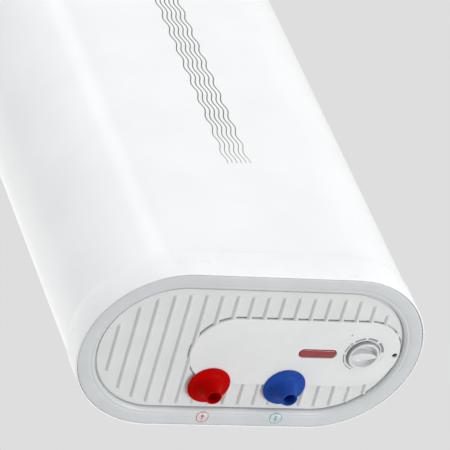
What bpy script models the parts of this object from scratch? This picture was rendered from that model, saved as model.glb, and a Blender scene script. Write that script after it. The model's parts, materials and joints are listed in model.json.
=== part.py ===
"""Flat electric storage water heater, hung on a wall, with two upright inner tanks side by side.

Lengths are in metres and +Z is up. The wall is the plane y = 0, the front faces -Y, and the origin
is the centre of the wall bracket's back face. Pieces are placed in the body frame, an empty at the
centre of the bottom outline, so their heights count up from that outline.
"""
import math

import bmesh
import bpy
from mathutils import Matrix, Vector

# Overall sizes
WIDTH = 0.450
DEPTH = 0.240
HEIGHT = 0.860
WALL_GAP = 0.015
BRACKET_DROP = 0.160

# Clearances and drawing steps
SEAT_GAP = 0.0003
CUT_OVERRUN = 0.002
WELD = 0.000001
END_STEPS = 14
TURN_STEPS = 20
TANK_STEPS = 18
SMALL_STEPS = 10
HOLE_STEPS = 6
CORNER_STEPS = 3
CROWN_STEPS = 3
SMOOTH_ANGLE = math.radians(35)
EDGE_PROFILE_SHARE = 0.5

# Casing sheet, top cap and bottom skirt
CASING_WALL = 0.001
SKIRT_STEP = 0.0013
SKIRT_HEIGHT = 0.045
SKIRT_WALL = 0.002
SHOULDER_ROUND = 0.0008
TONGUE_WALL = 0.0018
TONGUE_HEIGHT = 0.012
CAP_HEIGHT = 0.045
CAP_ROUND = 0.025
CAP_WALL = 0.0022

# Grey bezel under the skirt: its face runs from the skirt to the ribbed panel, which it holds on a ledge
BEZEL_WIDTH = 0.0254
BEZEL_WALL = 0.0025
BEZEL_UPSTAND = 0.014
BEZEL_LEDGE = 0.007
PANEL_RECESS = 0.0055
BEZEL_FACE_SHARES = (
    (0.0, 0.30), (0.04, 0.08), (0.18, 0.0), (0.55, 0.05), (0.76, 0.18),
    (0.88, 0.42), (0.96, 0.80), (1.0, 1.25),
)
BEZEL_BACK_SHARES = ((0.74, 0.14), (0.30, 0.0))

# Ribbed panel
PANEL_GAP = 0.0006
PANEL_WALL = 0.0025
RIB_PITCH = 0.0203
RIB_WIDTH = 0.006
RIB_RISE = 0.0031
RIB_SHOULDER_SHARE = 0.82
RIB_TOP_SHARE = 0.55
RIB_END_STEPS = 2
RIB_MARGIN = 0.0095
RIB_ROW_X = 0.0028
RIB_ROW_Y = 0.0025

# Control cover on the panel
COVER_LENGTH = 0.2765
COVER_WIDTH = 0.103
COVER_SIDE_MARGIN = 0.02775
COVER_Y = 0.0014
COVER_ROUND = 0.001
COVER_MOAT = 0.0007
CONTROL_OPENING_LENS_MARGIN = 0.0092
CONTROL_OPENING_KNOB_MARGIN = 0.0154
CONTROL_OPENING_WIDTH = 0.066

# Screw that holds the cover
COVER_SCREW_INSET = 0.00575
COVER_SCREW_HOLE_RADIUS = 0.0034
COVER_SCREW_HEAD_RADIUS = 0.003
COVER_SCREW_HEAD_HEIGHT = 0.0018
COVER_SCREW_RADIUS = 0.0015
COVER_SCREW_LENGTH = 0.012
COVER_BOSS_RADIUS = 0.0055
COVER_BOSS_HEIGHT = 0.008
COVER_BOSS_FLOOR = 0.002
BOSS_CLEARANCE = 0.0008

# Indicator window and its lamp
LENS_LENGTH = 0.0496
LENS_WIDTH = 0.0125
LENS_KNOB_SPACING = 0.0604
LENS_Y = 0.001
LENS_HEIGHT = 0.006
LENS_PROUD = 0.0004
LENS_ROUND = 0.0008
LENS_CLEARANCE = 0.0004
LAMP_LENGTH = 0.024
LAMP_WIDTH = 0.010
LAMP_HEIGHT = 0.014

# Thermostat knob, cup-shaped, with a grip blade across it
KNOB_INSET = 0.04885
KNOB_Y = 0.0
KNOB_BASE_RADIUS = 0.0222
KNOB_FACE_RADIUS = 0.0188
KNOB_RISE = 0.0046
KNOB_RIM = 0.0014
KNOB_CUP_RADIUS = 0.0162
KNOB_CUP_DEPTH = 0.0115
KNOB_FLOOR = 0.0022
KNOB_WALL = 0.0016
KNOB_HUB_RADIUS = 0.0056
KNOB_HUB_HEIGHT = 0.0045
KNOB_HOLE_CLEARANCE = 0.0006
KNOB_BOWL_SHARE = 0.86
KNOB_BOWL_FLOOR_SHARE = 0.55
BLADE_WIDTH = 0.0092
BLADE_ROOT_SHARE = 0.75
BLADE_WAIST_SHARE = 0.85
BLADE_EDGE_SHARE = 0.75
BLADE_CREST_SHARE = 0.35
BLADE_SWELL_SHARE = 0.6
SPINDLE_RADIUS = 0.003
SPINDLE_REACH = 0.006

# Water spigots and their pipes
PIPE_SPACING = 0.100
PIPE_ROW_X = 0.0092
PIPE_RING_OFFSET = 0.0049
PIPE_RADIUS = 0.01065
PIPE_BORE_RADIUS = 0.008
PIPE_HOLE_CLEARANCE = 0.0006
PIPE_END_DEPTH = 0.019
FLARE_RADIUS = 0.0272
SPIGOT_HEIGHT = 0.024
SPIGOT_MOUTH_RADIUS = 0.010
SPIGOT_BORE_RADIUS = 0.0077
SPIGOT_WALL = 0.0022
FLARE_SHARES = (
    (1.0, 0.02), (0.97, 0.07), (0.65, 0.145), (0.40, 0.25),
    (0.22, 0.41), (0.09, 0.66), (0.0, 0.92),
)
COLD_PIPE_TOP = 0.145
HOT_PIPE_TOP_GAP = 0.014
DIFFUSER_HEIGHT = 0.016
DIFFUSER_WALL = 0.0015

# Inner tanks, standing side by side
TANK_SIDE_ROOM = 0.020
TANK_GAP = 0.010
TANK_WALL = 0.0015
TANK_DOME = 0.030
TANK_BOTTOM = 0.115
TANK_TOP_ROOM = 0.055
NECK_RADIUS_SHARE = 0.40
NECK_WALL = 0.002
NECK_RING_WIDTH = 0.010
NECK_RING_BOTTOM = 0.062
NECK_RING_HEIGHT = 0.006
DOME_STEPS = 3

# Link between the tanks
LINK_RADIUS = 0.008
LINK_WALL = 0.001
LINK_LEVEL = 0.150
LINK_BEND = 0.022
LINK_INTAKE_GAP = 0.020
LINK_REACH = 0.020
LINK_SIDES = 8

# Flanges with what they carry
FLANGE_EDGE_STEP = 0.001
FLANGE_THICKNESS = 0.004
GASKET_THICKNESS = 0.0014
FLANGE_BOLT_REACH = 0.0045
FLANGE_BOLT_RADIUS = 0.0025
FLANGE_BOLT_HEAD_RADIUS = 0.0042
FLANGE_BOLT_HEAD_HEIGHT = 0.0035
FLANGE_BOLTS = 4
ELEMENT_RADIUS = 0.00425
ELEMENT_X_SHARE = 0.20
ELEMENT_SPREAD_SHARE = 0.55
ELEMENT_TERMINAL_DROP = 0.012
ELEMENT_TOP = 0.360
ELEMENT_BEND_STEPS = 10
ANODE_RADIUS = 0.0105
ANODE_X_SHARE = 0.50
ANODE_LENGTH = 0.210
ANODE_STUD_RADIUS = 0.004
ANODE_STUD_LENGTH = 0.014
ANODE_NUT_RADIUS = 0.0065
ANODE_NUT_HEIGHT = 0.004
WELL_RADIUS = 0.005
WELL_WALL = 0.0008
WELL_X_SHARE = 0.35
WELL_TOP = 0.262
WELL_COLLAR_RADIUS = 0.0068
WELL_COLLAR_HEIGHT = 0.0015
STEM_RADIUS = 0.0036
STEM_TIP_GAP = 0.008

# Thermostat, cut-out, terminal block and cable inlet
THERMOSTAT_LENGTH = 0.062
THERMOSTAT_WIDTH = 0.030
THERMOSTAT_HEIGHT = 0.030
THERMOSTAT_KNOB_OFFSET = 0.0149
THERMOSTAT_ROUND = 0.002
CUTOUT_RADIUS = 0.009
CUTOUT_HEIGHT = 0.010
TERMINAL_LENGTH = 0.040
TERMINAL_WIDTH = 0.018
TERMINAL_HEIGHT = 0.016
TERMINAL_X = 0.010
TERMINAL_Y = -0.030
TERMINAL_GROOVE = 0.003
TERMINAL_POLES = 3
GLAND_INSET = 0.145
GLAND_LEVEL = 0.027
GLAND_RADIUS = 0.008
GLAND_FLANGE_RADIUS = 0.0105
GLAND_FLANGE = 0.002
GLAND_NECK = 0.008
GLAND_BORE_RADIUS = 0.0042
GLAND_WALL_CLEARANCE = 0.0004
WIRE_RADIUS = 0.0012
WIRE_POINTS_PER_LEG = 4
WIRE_END_GAP = 0.0008
WIRE_SPREAD = 0.014

# Foam between casing and tanks
FOAM_BOTTOM = 0.072

# Hanging: a bar on the tanks, two bolts and the pressed wall bracket
BAR_LENGTH = 0.250
BAR_HEIGHT = 0.040
BAR_THICKNESS = 0.005
BRACKET_SHEET = 0.0025
BRACKET_HEIGHT = 0.040
BRACKET_HALF_LENGTH = 0.150
BRACKET_FOOT_INNER = 0.064
BRACKET_FOOT_OUTER = 0.098
BRACKET_LEG_RUN = 0.006
HOOK_SLOT_X = 0.128
HOOK_HOLE_RADIUS = 0.008
HOOK_SLOT_RADIUS = 0.005
HOOK_SLOT_RISE = 0.013
HOOK_HOLE_DROP = 0.006
HANGER_BOLT_RADIUS = 0.004
HANGER_BOLT_HEAD_RADIUS = 0.0074
HANGER_BOLT_HEAD_HEIGHT = 0.0053
HANGER_BOLT_TAIL = 0.0005
SPACER_LEVEL = 0.120
SPACER_X = 0.085
SPACER_RADIUS = 0.016
SPACER_FACE_RADIUS = 0.013

# Places that follow from the sizes above, with levels counted up from the bottom outline
BRACKET_LEVEL = HEIGHT - BRACKET_DROP
COVER_END_X = WIDTH / 2 - COVER_SIDE_MARGIN
COVER_X = COVER_END_X - COVER_LENGTH / 2
COVER_SCREW_X = COVER_END_X - COVER_SCREW_INSET
KNOB_X = COVER_END_X - KNOB_INSET
LENS_X = KNOB_X - LENS_KNOB_SPACING
CONTROL_OPENING_LEFT = LENS_X - LENS_LENGTH / 2 - CONTROL_OPENING_LENS_MARGIN
CONTROL_OPENING_RIGHT = KNOB_X + KNOB_CUP_RADIUS + CONTROL_OPENING_KNOB_MARGIN
CONTROL_OPENING_LENGTH = CONTROL_OPENING_RIGHT - CONTROL_OPENING_LEFT
CONTROL_OPENING_X = (CONTROL_OPENING_LEFT + CONTROL_OPENING_RIGHT) / 2
THERMOSTAT_X = KNOB_X - THERMOSTAT_KNOB_OFFSET
GLAND_X = WIDTH / 2 - GLAND_INSET
TANK_RADIUS = min(DEPTH / 2 - TANK_SIDE_ROOM, (WIDTH / 2 - TANK_SIDE_ROOM - TANK_GAP / 2) / 2)
TANK_SPACING = 2 * TANK_RADIUS + TANK_GAP
NECK_RADIUS = TANK_RADIUS * NECK_RADIUS_SHARE
NECK_RING_RADIUS = NECK_RADIUS + NECK_RING_WIDTH
FLANGE_RADIUS = NECK_RING_RADIUS - FLANGE_EDGE_STEP
FLANGE_BOLT_CIRCLE = NECK_RADIUS + FLANGE_BOLT_REACH
ELEMENT_X = NECK_RADIUS * ELEMENT_X_SHARE
ELEMENT_HALF_SPREAD = NECK_RADIUS * ELEMENT_SPREAD_SHARE
ANODE_X = -NECK_RADIUS * ANODE_X_SHARE
WELL_X = NECK_RADIUS * WELL_X_SHARE
CUTOUT_X = NECK_RADIUS * WELL_X_SHARE
PIPE_ROW_Y = NECK_RING_RADIUS + PIPE_RING_OFFSET
TANK_TOP = HEIGHT - TANK_TOP_ROOM
CASING_INNER = SKIRT_STEP + CASING_WALL
TONGUE_INSET = CASING_INNER + SEAT_GAP
TONGUE_INNER = TONGUE_INSET + TONGUE_WALL
CAP_BOTTOM = HEIGHT - CAP_HEIGHT
BEZEL_INSET = SKIRT_WALL + SEAT_GAP
COVER_FACE = PANEL_RECESS - RIB_RISE
COVER_BACK = PANEL_RECESS - SEAT_GAP
PANEL_BACK = PANEL_RECESS + PANEL_WALL
KNOB_FACE = COVER_FACE - KNOB_RISE
FLARE_TOP = COVER_FACE - SEAT_GAP
SPIGOT_MOUTH = FLARE_TOP - SPIGOT_HEIGHT
PIPE_END = SPIGOT_MOUTH + PIPE_END_DEPTH
FLANGE_TOP = NECK_RING_BOTTOM - GASKET_THICKNESS - 2 * SEAT_GAP
FLANGE_BOTTOM = FLANGE_TOP - FLANGE_THICKNESS
WELL_COLLAR_BOTTOM = FLANGE_BOTTOM - SEAT_GAP - WELL_COLLAR_HEIGHT
HOUSING_TOP = WELL_COLLAR_BOTTOM - SEAT_GAP
CASING_BACK_Y = DEPTH / 2 - SKIRT_STEP
WALL_Y = DEPTH / 2 + WALL_GAP
TANK_X = TANK_SPACING / 2
HOT_X = PIPE_ROW_X - PIPE_SPACING / 2
COLD_X = PIPE_ROW_X + PIPE_SPACING / 2
HANGER_BOLT_X = (BRACKET_FOOT_INNER + BRACKET_FOOT_OUTER) / 2


class Finish:
    """A material's name and its plain surface values."""

    def __init__(self, name, colour, roughness, metallic=0.0):
        self.name = name
        self.colour = colour
        self.roughness = roughness
        self.metallic = metallic

    def material(self):
        """Returns the Principled material of this finish, made on first use."""
        material = bpy.data.materials.get(self.name)
        if material is None:
            material = bpy.data.materials.new(self.name)
            material.use_nodes = True
            shader = material.node_tree.nodes["Principled BSDF"]
            shader.inputs["Base Color"].default_value = (*self.colour, 1.0)
            shader.inputs["Roughness"].default_value = self.roughness
            shader.inputs["Metallic"].default_value = self.metallic
            material.diffuse_color = (*self.colour, 1.0)
        return material


WHITE_ENAMEL = Finish("white_enamel", (0.86, 0.87, 0.87), 0.25)
WHITE_PLASTIC = Finish("white_plastic", (0.86, 0.87, 0.87), 0.35)
GREY_PLASTIC = Finish("grey_plastic", (0.58, 0.60, 0.61), 0.40)
PALE_PLASTIC = Finish("pale_plastic", (0.70, 0.71, 0.71), 0.45)
KNOB_PLASTIC = Finish("knob_plastic", (0.66, 0.67, 0.68), 0.35)
RED_LENS = Finish("red_lens", (0.36, 0.02, 0.02), 0.12)
RED_PLASTIC = Finish("red_plastic", (0.56, 0.01, 0.01), 0.40)
BLUE_PLASTIC = Finish("blue_plastic", (0.04, 0.12, 0.46), 0.40)
BLACK_PLASTIC = Finish("black_plastic", (0.02, 0.02, 0.02), 0.45)
CREAM_PLASTIC = Finish("cream_plastic", (0.72, 0.68, 0.58), 0.45)
STEEL = Finish("steel", (0.55, 0.55, 0.54), 0.35, 1.0)
ZINC = Finish("zinc", (0.60, 0.61, 0.62), 0.40, 1.0)
COPPER = Finish("copper", (0.72, 0.38, 0.25), 0.30, 1.0)
MAGNESIUM = Finish("magnesium", (0.62, 0.62, 0.60), 0.55, 1.0)
RUBBER = Finish("rubber", (0.03, 0.03, 0.03), 0.70)
FOAM = Finish("foam", (0.80, 0.66, 0.36), 0.85)
BROWN_WIRE = Finish("brown_wire", (0.20, 0.08, 0.03), 0.45)
BLUE_WIRE = Finish("blue_wire", (0.03, 0.12, 0.45), 0.45)
GREEN_WIRE = Finish("green_wire", (0.10, 0.38, 0.06), 0.45)


def stadium(inset, height, half_width=WIDTH / 2, half_depth=DEPTH / 2, steps=END_STEPS):
    """Points of an outline with round ends, drawn in by an inset, at one height."""
    radius = half_depth - inset
    straight = half_width - half_depth
    points = []
    for side in (1, -1):
        for step in range(steps + 1):
            angle = math.pi * step / steps - side * math.pi / 2
            x = side * straight + radius * math.cos(angle)
            points.append(Vector((x, radius * math.sin(angle), height)))
    return points


def slot(length, width, height, steps=8):
    """Points of a slot along X with round ends, centred on the Z axis."""
    return stadium(0, height, length / 2, width / 2, steps)


def arc(centre, radius, start, stop, steps=CORNER_STEPS):
    """Points of an arc in a profile, with both ends."""
    angles = [start + (stop - start) * step / steps for step in range(steps + 1)]
    return [(centre[0] + radius * math.cos(a), centre[1] + radius * math.sin(a)) for a in angles]


def solid(name, bm, finish, at=(0, 0, 0)):
    """Closes a bmesh into an object with outward faces."""
    bmesh.ops.remove_doubles(bm, verts=bm.verts, dist=WELD)
    bmesh.ops.recalc_face_normals(bm, faces=bm.faces)
    mesh = bpy.data.meshes.new(name)
    bm.to_mesh(mesh)
    bm.free()
    mesh.shade_smooth()
    mesh.set_sharp_from_angle(angle=SMOOTH_ANGLE)
    piece = bpy.data.objects.new(name, mesh)
    piece.location = at
    piece.data.materials.append(finish.material())
    bpy.context.collection.objects.link(piece)
    return piece


def lofted(name, rings, finish, at=(0, 0, 0), closed=False):
    """A solid through a row of rings: capped at both ends, or closed into a hollow ring."""
    bm = bmesh.new()
    rows = [[bm.verts.new(point) for point in ring] for ring in rings]
    pairs = list(zip(rows, rows[1:]))
    if closed:
        pairs.append((rows[-1], rows[0]))
    else:
        bm.faces.new(rows[0])
        bm.faces.new(rows[-1])
    for low, high in pairs:
        for index in range(len(low)):
            following = (index + 1) % len(low)
            bm.faces.new((low[index], low[following], high[following], high[index]))
    return solid(name, bm, finish, at)


def turned(name, profile, finish, at=(0, 0, 0), steps=TURN_STEPS, closed=False):
    """A solid of revolution about Z from (radius, height) points."""
    bm = bmesh.new()
    verts = [bm.verts.new((radius, 0, height)) for radius, height in profile]
    edges = [bm.edges.new(pair) for pair in zip(verts, verts[1:])]
    if closed:
        edges.append(bm.edges.new((verts[-1], verts[0])))
    bmesh.ops.spin(bm, geom=verts + edges, cent=(0, 0, 0), axis=(0, 0, 1), angle=2 * math.pi,
                   steps=steps, use_merge=True)
    bmesh.ops.remove_doubles(bm, verts=bm.verts, dist=WELD)
    bmesh.ops.dissolve_verts(bm, verts=[vert for vert in bm.verts if is_flat_hub(vert)])
    return solid(name, bm, finish, at)


def is_flat_hub(vert):
    """Whether a point on the axis is the middle of a flat end."""
    level = all(abs(edge.other_vert(vert).co.z - vert.co.z) < WELD for edge in vert.link_edges)
    return vert.co.xy.length < WELD and level


def rod(name, radius, bottom, top, finish, at=(0, 0, 0), steps=TURN_STEPS):
    """A plain round bar between two heights."""
    return turned(name, [(0, bottom), (radius, bottom), (radius, top), (0, top)], finish, at, steps)


def block(name, size, finish, at, rounding=0.0):
    """A box with its edges rounded."""
    bm = bmesh.new()
    bmesh.ops.create_cube(bm, size=1.0)
    bmesh.ops.scale(bm, vec=size, verts=bm.verts)
    if rounding > 0:
        bmesh.ops.bevel(bm, geom=bm.edges[:], offset=rounding, segments=2, profile=EDGE_PROFILE_SHARE,
                        affect="EDGES")
    return solid(name, bm, finish, at)


def combine(target, tool, operation):
    """Joins a tool to a piece, or cuts it out, and removes the tool."""
    bpy.context.view_layer.update()
    modifier = target.modifiers.new(operation.lower(), "BOOLEAN")
    modifier.object = tool
    modifier.operation = operation
    modifier.solver = "EXACT"
    graph = bpy.context.evaluated_depsgraph_get()
    mesh = bpy.data.meshes.new_from_object(target.evaluated_get(graph))
    target.modifiers.clear()
    target.data = mesh
    mesh.name = target.name
    mesh.shade_smooth()
    mesh.set_sharp_from_angle(angle=SMOOTH_ANGLE)
    bpy.data.objects.remove(tool)


def cut(target, tool):
    """Cuts a tool out of a piece."""
    combine(target, tool, "DIFFERENCE")


def join(target, tool):
    """Makes a tool part of a piece."""
    combine(target, tool, "UNION")


def cut_round(target, radius, bottom, top, at, steps=TURN_STEPS, axis="Z"):
    """Cuts a hole whose facets lie outside its radius, along Z, or along Y where the axis says so."""
    drill = rod("drill", radius / math.cos(math.pi / steps), bottom, top, STEEL, at, steps)
    if axis == "Y":
        drill.rotation_euler = (-math.pi / 2, 0, 0)
    cut(target, drill)


def make_bottom_skirt():
    """White ring below the casing, with a tongue that the casing sits over."""
    hem = arc((SKIRT_WALL / 2, SKIRT_WALL / 2), SKIRT_WALL / 2, 0, -math.pi)
    shoulder = arc((SHOULDER_ROUND, SKIRT_HEIGHT - SHOULDER_ROUND), SHOULDER_ROUND, math.pi, math.pi / 2)
    inner_slope = SKIRT_HEIGHT - SKIRT_WALL
    profile = hem + shoulder + [
        (TONGUE_INSET, SKIRT_HEIGHT),
        (TONGUE_INSET, SKIRT_HEIGHT + TONGUE_HEIGHT),
        (TONGUE_INNER, SKIRT_HEIGHT + TONGUE_HEIGHT),
        (TONGUE_INNER, inner_slope),
        (SKIRT_WALL, inner_slope - (TONGUE_INNER - SKIRT_WALL)),
    ]
    skirt = lofted("bottom_skirt", [stadium(*point) for point in profile], WHITE_PLASTIC, closed=True)
    cut_round(skirt, GLAND_RADIUS + GLAND_WALL_CLEARANCE, -CUT_OVERRUN, SKIRT_WALL + CUT_OVERRUN,
              (GLAND_X, DEPTH / 2 - SKIRT_WALL, GLAND_LEVEL), SMALL_STEPS, "Y")
    return skirt


def make_outer_casing():
    """Rolled sheet between the skirt and the cap."""
    bottom = SKIRT_HEIGHT + SEAT_GAP
    top = CAP_BOTTOM - SEAT_GAP
    profile = [(SKIRT_STEP, bottom), (SKIRT_STEP, top), (CASING_INNER, top), (CASING_INNER, bottom)]
    casing = lofted("outer_casing", [stadium(*point) for point in profile], WHITE_ENAMEL, closed=True)
    for side in (-1, 1):
        cut_round(casing, HANGER_BOLT_RADIUS + SEAT_GAP, -CUT_OVERRUN, CASING_WALL + CUT_OVERRUN,
                  (side * HANGER_BOLT_X, CASING_BACK_Y - CASING_WALL, BRACKET_LEVEL), SMALL_STEPS, "Y")
    return casing


def make_top_cover():
    """White cap with a rounded rim, open below, with a tongue inside the casing."""
    crown = (CAP_ROUND, HEIGHT - CAP_ROUND)
    outer = arc(crown, CAP_ROUND, math.pi, math.pi / 2, CROWN_STEPS)
    inner = arc(crown, CAP_ROUND - CAP_WALL, math.pi / 2, math.pi, CROWN_STEPS)
    tongue_end = CAP_BOTTOM - TONGUE_HEIGHT
    rim = [
        (CAP_WALL, CAP_BOTTOM + TONGUE_INNER),
        (TONGUE_INNER, CAP_BOTTOM + CAP_WALL),
        (TONGUE_INNER, tongue_end),
        (TONGUE_INSET, tongue_end),
        (TONGUE_INSET, CAP_BOTTOM),
        (0, CAP_BOTTOM),
    ]
    return lofted("top_cover", [stadium(*point) for point in inner + rim + outer], WHITE_PLASTIC)


def make_bottom_bezel():
    """Grey ring that closes the skirt from below and holds the panel on a ledge."""
    reach = BEZEL_WIDTH - BEZEL_INSET
    face = [(BEZEL_INSET + across * reach, rise * PANEL_RECESS) for across, rise in BEZEL_FACE_SHARES]
    ledge = PANEL_BACK + SEAT_GAP
    back = [(BEZEL_INSET + across * reach, BEZEL_WALL + rise * PANEL_RECESS)
            for across, rise in BEZEL_BACK_SHARES]
    profile = face + [
        (BEZEL_WIDTH, ledge),
        (BEZEL_WIDTH + BEZEL_LEDGE, ledge),
        (BEZEL_WIDTH + BEZEL_LEDGE, ledge + BEZEL_WALL),
        (BEZEL_WIDTH - BEZEL_WALL, ledge + BEZEL_WALL),
    ] + back + [
        (BEZEL_INSET + BEZEL_WALL, 2 * BEZEL_WALL),
        (BEZEL_INSET + BEZEL_WALL, BEZEL_UPSTAND),
        (BEZEL_INSET, BEZEL_UPSTAND),
    ]
    bezel = lofted("bottom_bezel", [stadium(*point) for point in profile], GREY_PLASTIC, closed=True)
    cut_round(bezel, COVER_BOSS_RADIUS + BOSS_CLEARANCE, PANEL_BACK, ledge + BEZEL_WALL + CUT_OVERRUN,
              (COVER_SCREW_X, 0, 0), SMALL_STEPS)
    return bezel


def rib_half_length(x):
    """How far a rib at x reaches to the front and back, inside the panel's outline."""
    reach = DEPTH / 2 - BEZEL_WIDTH - PANEL_GAP - RIB_MARGIN
    past = max(abs(x) - (WIDTH - DEPTH) / 2, 0)
    return math.sqrt(reach * reach - past * past) if past < reach - RIB_WIDTH else 0


def make_rib(x):
    """A rib from front to back, with round ends and a narrower top."""
    half = rib_half_length(x)
    rings = []
    for width, height in (
        (RIB_WIDTH, PANEL_RECESS + PANEL_WALL / 2),
        (RIB_WIDTH * RIB_SHOULDER_SHARE, COVER_FACE + RIB_RISE / 5),
        (RIB_WIDTH * RIB_TOP_SHARE, COVER_FACE),
    ):
        rings.append([Vector((-point.y, point.x, point.z)) for point in
                      slot(2 * half - RIB_WIDTH + width, width, height, RIB_END_STEPS)])
    return lofted("rib", rings, PALE_PLASTIC, (x + RIB_ROW_X, RIB_ROW_Y, 0))


def make_ribbed_panel():
    """Panel with its row of ribs, cut clear of the control cover, with its openings."""
    inset = BEZEL_WIDTH + PANEL_GAP
    panel = lofted("ribbed_panel", [stadium(inset, PANEL_RECESS), stadium(inset, PANEL_BACK)], PALE_PLASTIC)
    count = int((WIDTH / 2 - inset - RIB_MARGIN) / RIB_PITCH)
    for index in range(-count, count + 1):
        x = index * RIB_PITCH
        if rib_half_length(x) > RIB_WIDTH:
            rib = make_rib(x)
            cut(rib, cover_solid("moat", COVER_MOAT, COVER_FACE - CUT_OVERRUN, PANEL_RECESS))
            join(panel, rib)
    opening = [slot(CONTROL_OPENING_LENGTH, CONTROL_OPENING_WIDTH, height, END_STEPS // 2)
               for height in (PANEL_RECESS - CUT_OVERRUN, PANEL_BACK + CUT_OVERRUN)]
    cut(panel, lofted("opening", opening, STEEL, (CONTROL_OPENING_X, COVER_Y, 0)))
    for x in (HOT_X, COLD_X):
        cut_round(panel, PIPE_RADIUS + PIPE_HOLE_CLEARANCE, COVER_FACE - CUT_OVERRUN,
                  PANEL_BACK + CUT_OVERRUN, (x, PIPE_ROW_Y, 0))
    cut_round(panel, COVER_BOSS_RADIUS + BOSS_CLEARANCE, COVER_FACE - CUT_OVERRUN, PANEL_BACK + CUT_OVERRUN,
              (COVER_SCREW_X, 0, 0), SMALL_STEPS)
    return panel


def cover_solid(name, grow, bottom, top):
    """The cover's outline as a plain slab, grown on all sides."""
    rings = [slot(COVER_LENGTH + 2 * grow, COVER_WIDTH + 2 * grow, height, END_STEPS)
             for height in (bottom, top)]
    return lofted(name, rings, STEEL, (COVER_X, COVER_Y, 0))


def make_control_cover():
    """Raised cover over the controls, with a deep screw boss at its right end."""
    rounded = arc((COVER_ROUND, COVER_FACE + COVER_ROUND), COVER_ROUND, -math.pi / 2, -math.pi, 3)
    rings = [stadium(inset, height, COVER_LENGTH / 2, COVER_WIDTH / 2) for inset, height in rounded]
    rings.append(stadium(0, COVER_BACK, COVER_LENGTH / 2, COVER_WIDTH / 2))
    cover = lofted("control_cover", rings, PALE_PLASTIC, (COVER_X, COVER_Y, 0))
    boss_top = COVER_FACE + COVER_BOSS_HEIGHT
    shank_hole = COVER_SCREW_RADIUS + SEAT_GAP
    join(cover, rod("boss", COVER_BOSS_RADIUS, COVER_BACK - CUT_OVERRUN / 2, boss_top, PALE_PLASTIC,
                    (COVER_SCREW_X, 0, 0), SMALL_STEPS))
    stepped = [
        (0, COVER_FACE - CUT_OVERRUN),
        (COVER_SCREW_HOLE_RADIUS, COVER_FACE - CUT_OVERRUN),
        (COVER_SCREW_HOLE_RADIUS, boss_top - COVER_BOSS_FLOOR),
        (shank_hole, boss_top - COVER_BOSS_FLOOR),
        (shank_hole, boss_top + CUT_OVERRUN),
        (0, boss_top + CUT_OVERRUN),
    ]
    cut(cover, turned("stepped_drill", stepped, STEEL, (COVER_SCREW_X, 0, 0), SMALL_STEPS))
    cut_round(cover, KNOB_CUP_RADIUS + KNOB_HOLE_CLEARANCE, COVER_FACE - CUT_OVERRUN,
              COVER_BACK + CUT_OVERRUN, (KNOB_X, KNOB_Y, 0))
    window = [slot(LENS_LENGTH + 2 * LENS_CLEARANCE, LENS_WIDTH + 2 * LENS_CLEARANCE, height)
              for height in (COVER_FACE - CUT_OVERRUN, COVER_BACK + CUT_OVERRUN)]
    cut(cover, lofted("window", window, STEEL, (LENS_X, LENS_Y, 0)))
    for x in (HOT_X, COLD_X):
        cut_round(cover, PIPE_RADIUS + 2 * PIPE_HOLE_CLEARANCE, COVER_FACE - CUT_OVERRUN,
                  COVER_BACK + CUT_OVERRUN, (x, PIPE_ROW_Y, 0))
    return cover


def make_cover_screw():
    """Pan-head screw at the bottom of the cover's boss."""
    seat = COVER_FACE + COVER_BOSS_HEIGHT - COVER_BOSS_FLOOR - SEAT_GAP
    head = seat - COVER_SCREW_HEAD_HEIGHT
    profile = [
        (0, head),
        (COVER_SCREW_HEAD_RADIUS * 2 / 3, head),
        (COVER_SCREW_HEAD_RADIUS, head + COVER_SCREW_HEAD_HEIGHT / 2),
        (COVER_SCREW_HEAD_RADIUS, seat),
        (COVER_SCREW_RADIUS, seat),
        (COVER_SCREW_RADIUS, seat + COVER_SCREW_LENGTH - COVER_SCREW_RADIUS),
        (0, seat + COVER_SCREW_LENGTH),
    ]
    return turned("cover_screw", profile, ZINC, (COVER_SCREW_X, 0, 0), SMALL_STEPS)


def make_indicator():
    """Red window in the cover, and the lamp behind it."""
    face = COVER_FACE - LENS_PROUD
    rounded = arc((LENS_ROUND, face + LENS_ROUND), LENS_ROUND, -math.pi / 2, -math.pi, 2)
    rings = [stadium(inset, height, LENS_LENGTH / 2, LENS_WIDTH / 2, 8) for inset, height in rounded]
    rings.append(stadium(0, face + LENS_HEIGHT, LENS_LENGTH / 2, LENS_WIDTH / 2, 8))
    lofted("indicator_lens", rings, RED_LENS, (LENS_X, LENS_Y, 0))
    bottom = face + LENS_HEIGHT + SEAT_GAP
    block("indicator_lamp", (LAMP_LENGTH, LAMP_WIDTH, LAMP_HEIGHT), BLACK_PLASTIC,
          (LENS_X, LENS_Y, bottom + LAMP_HEIGHT / 2), THERMOSTAT_ROUND / 2)


def lens_ring(half_length, half_width, height, steps=10):
    """Points of a pointed oval along X."""
    points = []
    for step in range(2 * steps):
        angle = math.pi * step / steps
        swell = math.sin(angle) * abs(math.sin(angle)) ** BLADE_SWELL_SHARE
        points.append(Vector((half_length * math.cos(angle), half_width * swell, height)))
    return points


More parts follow.
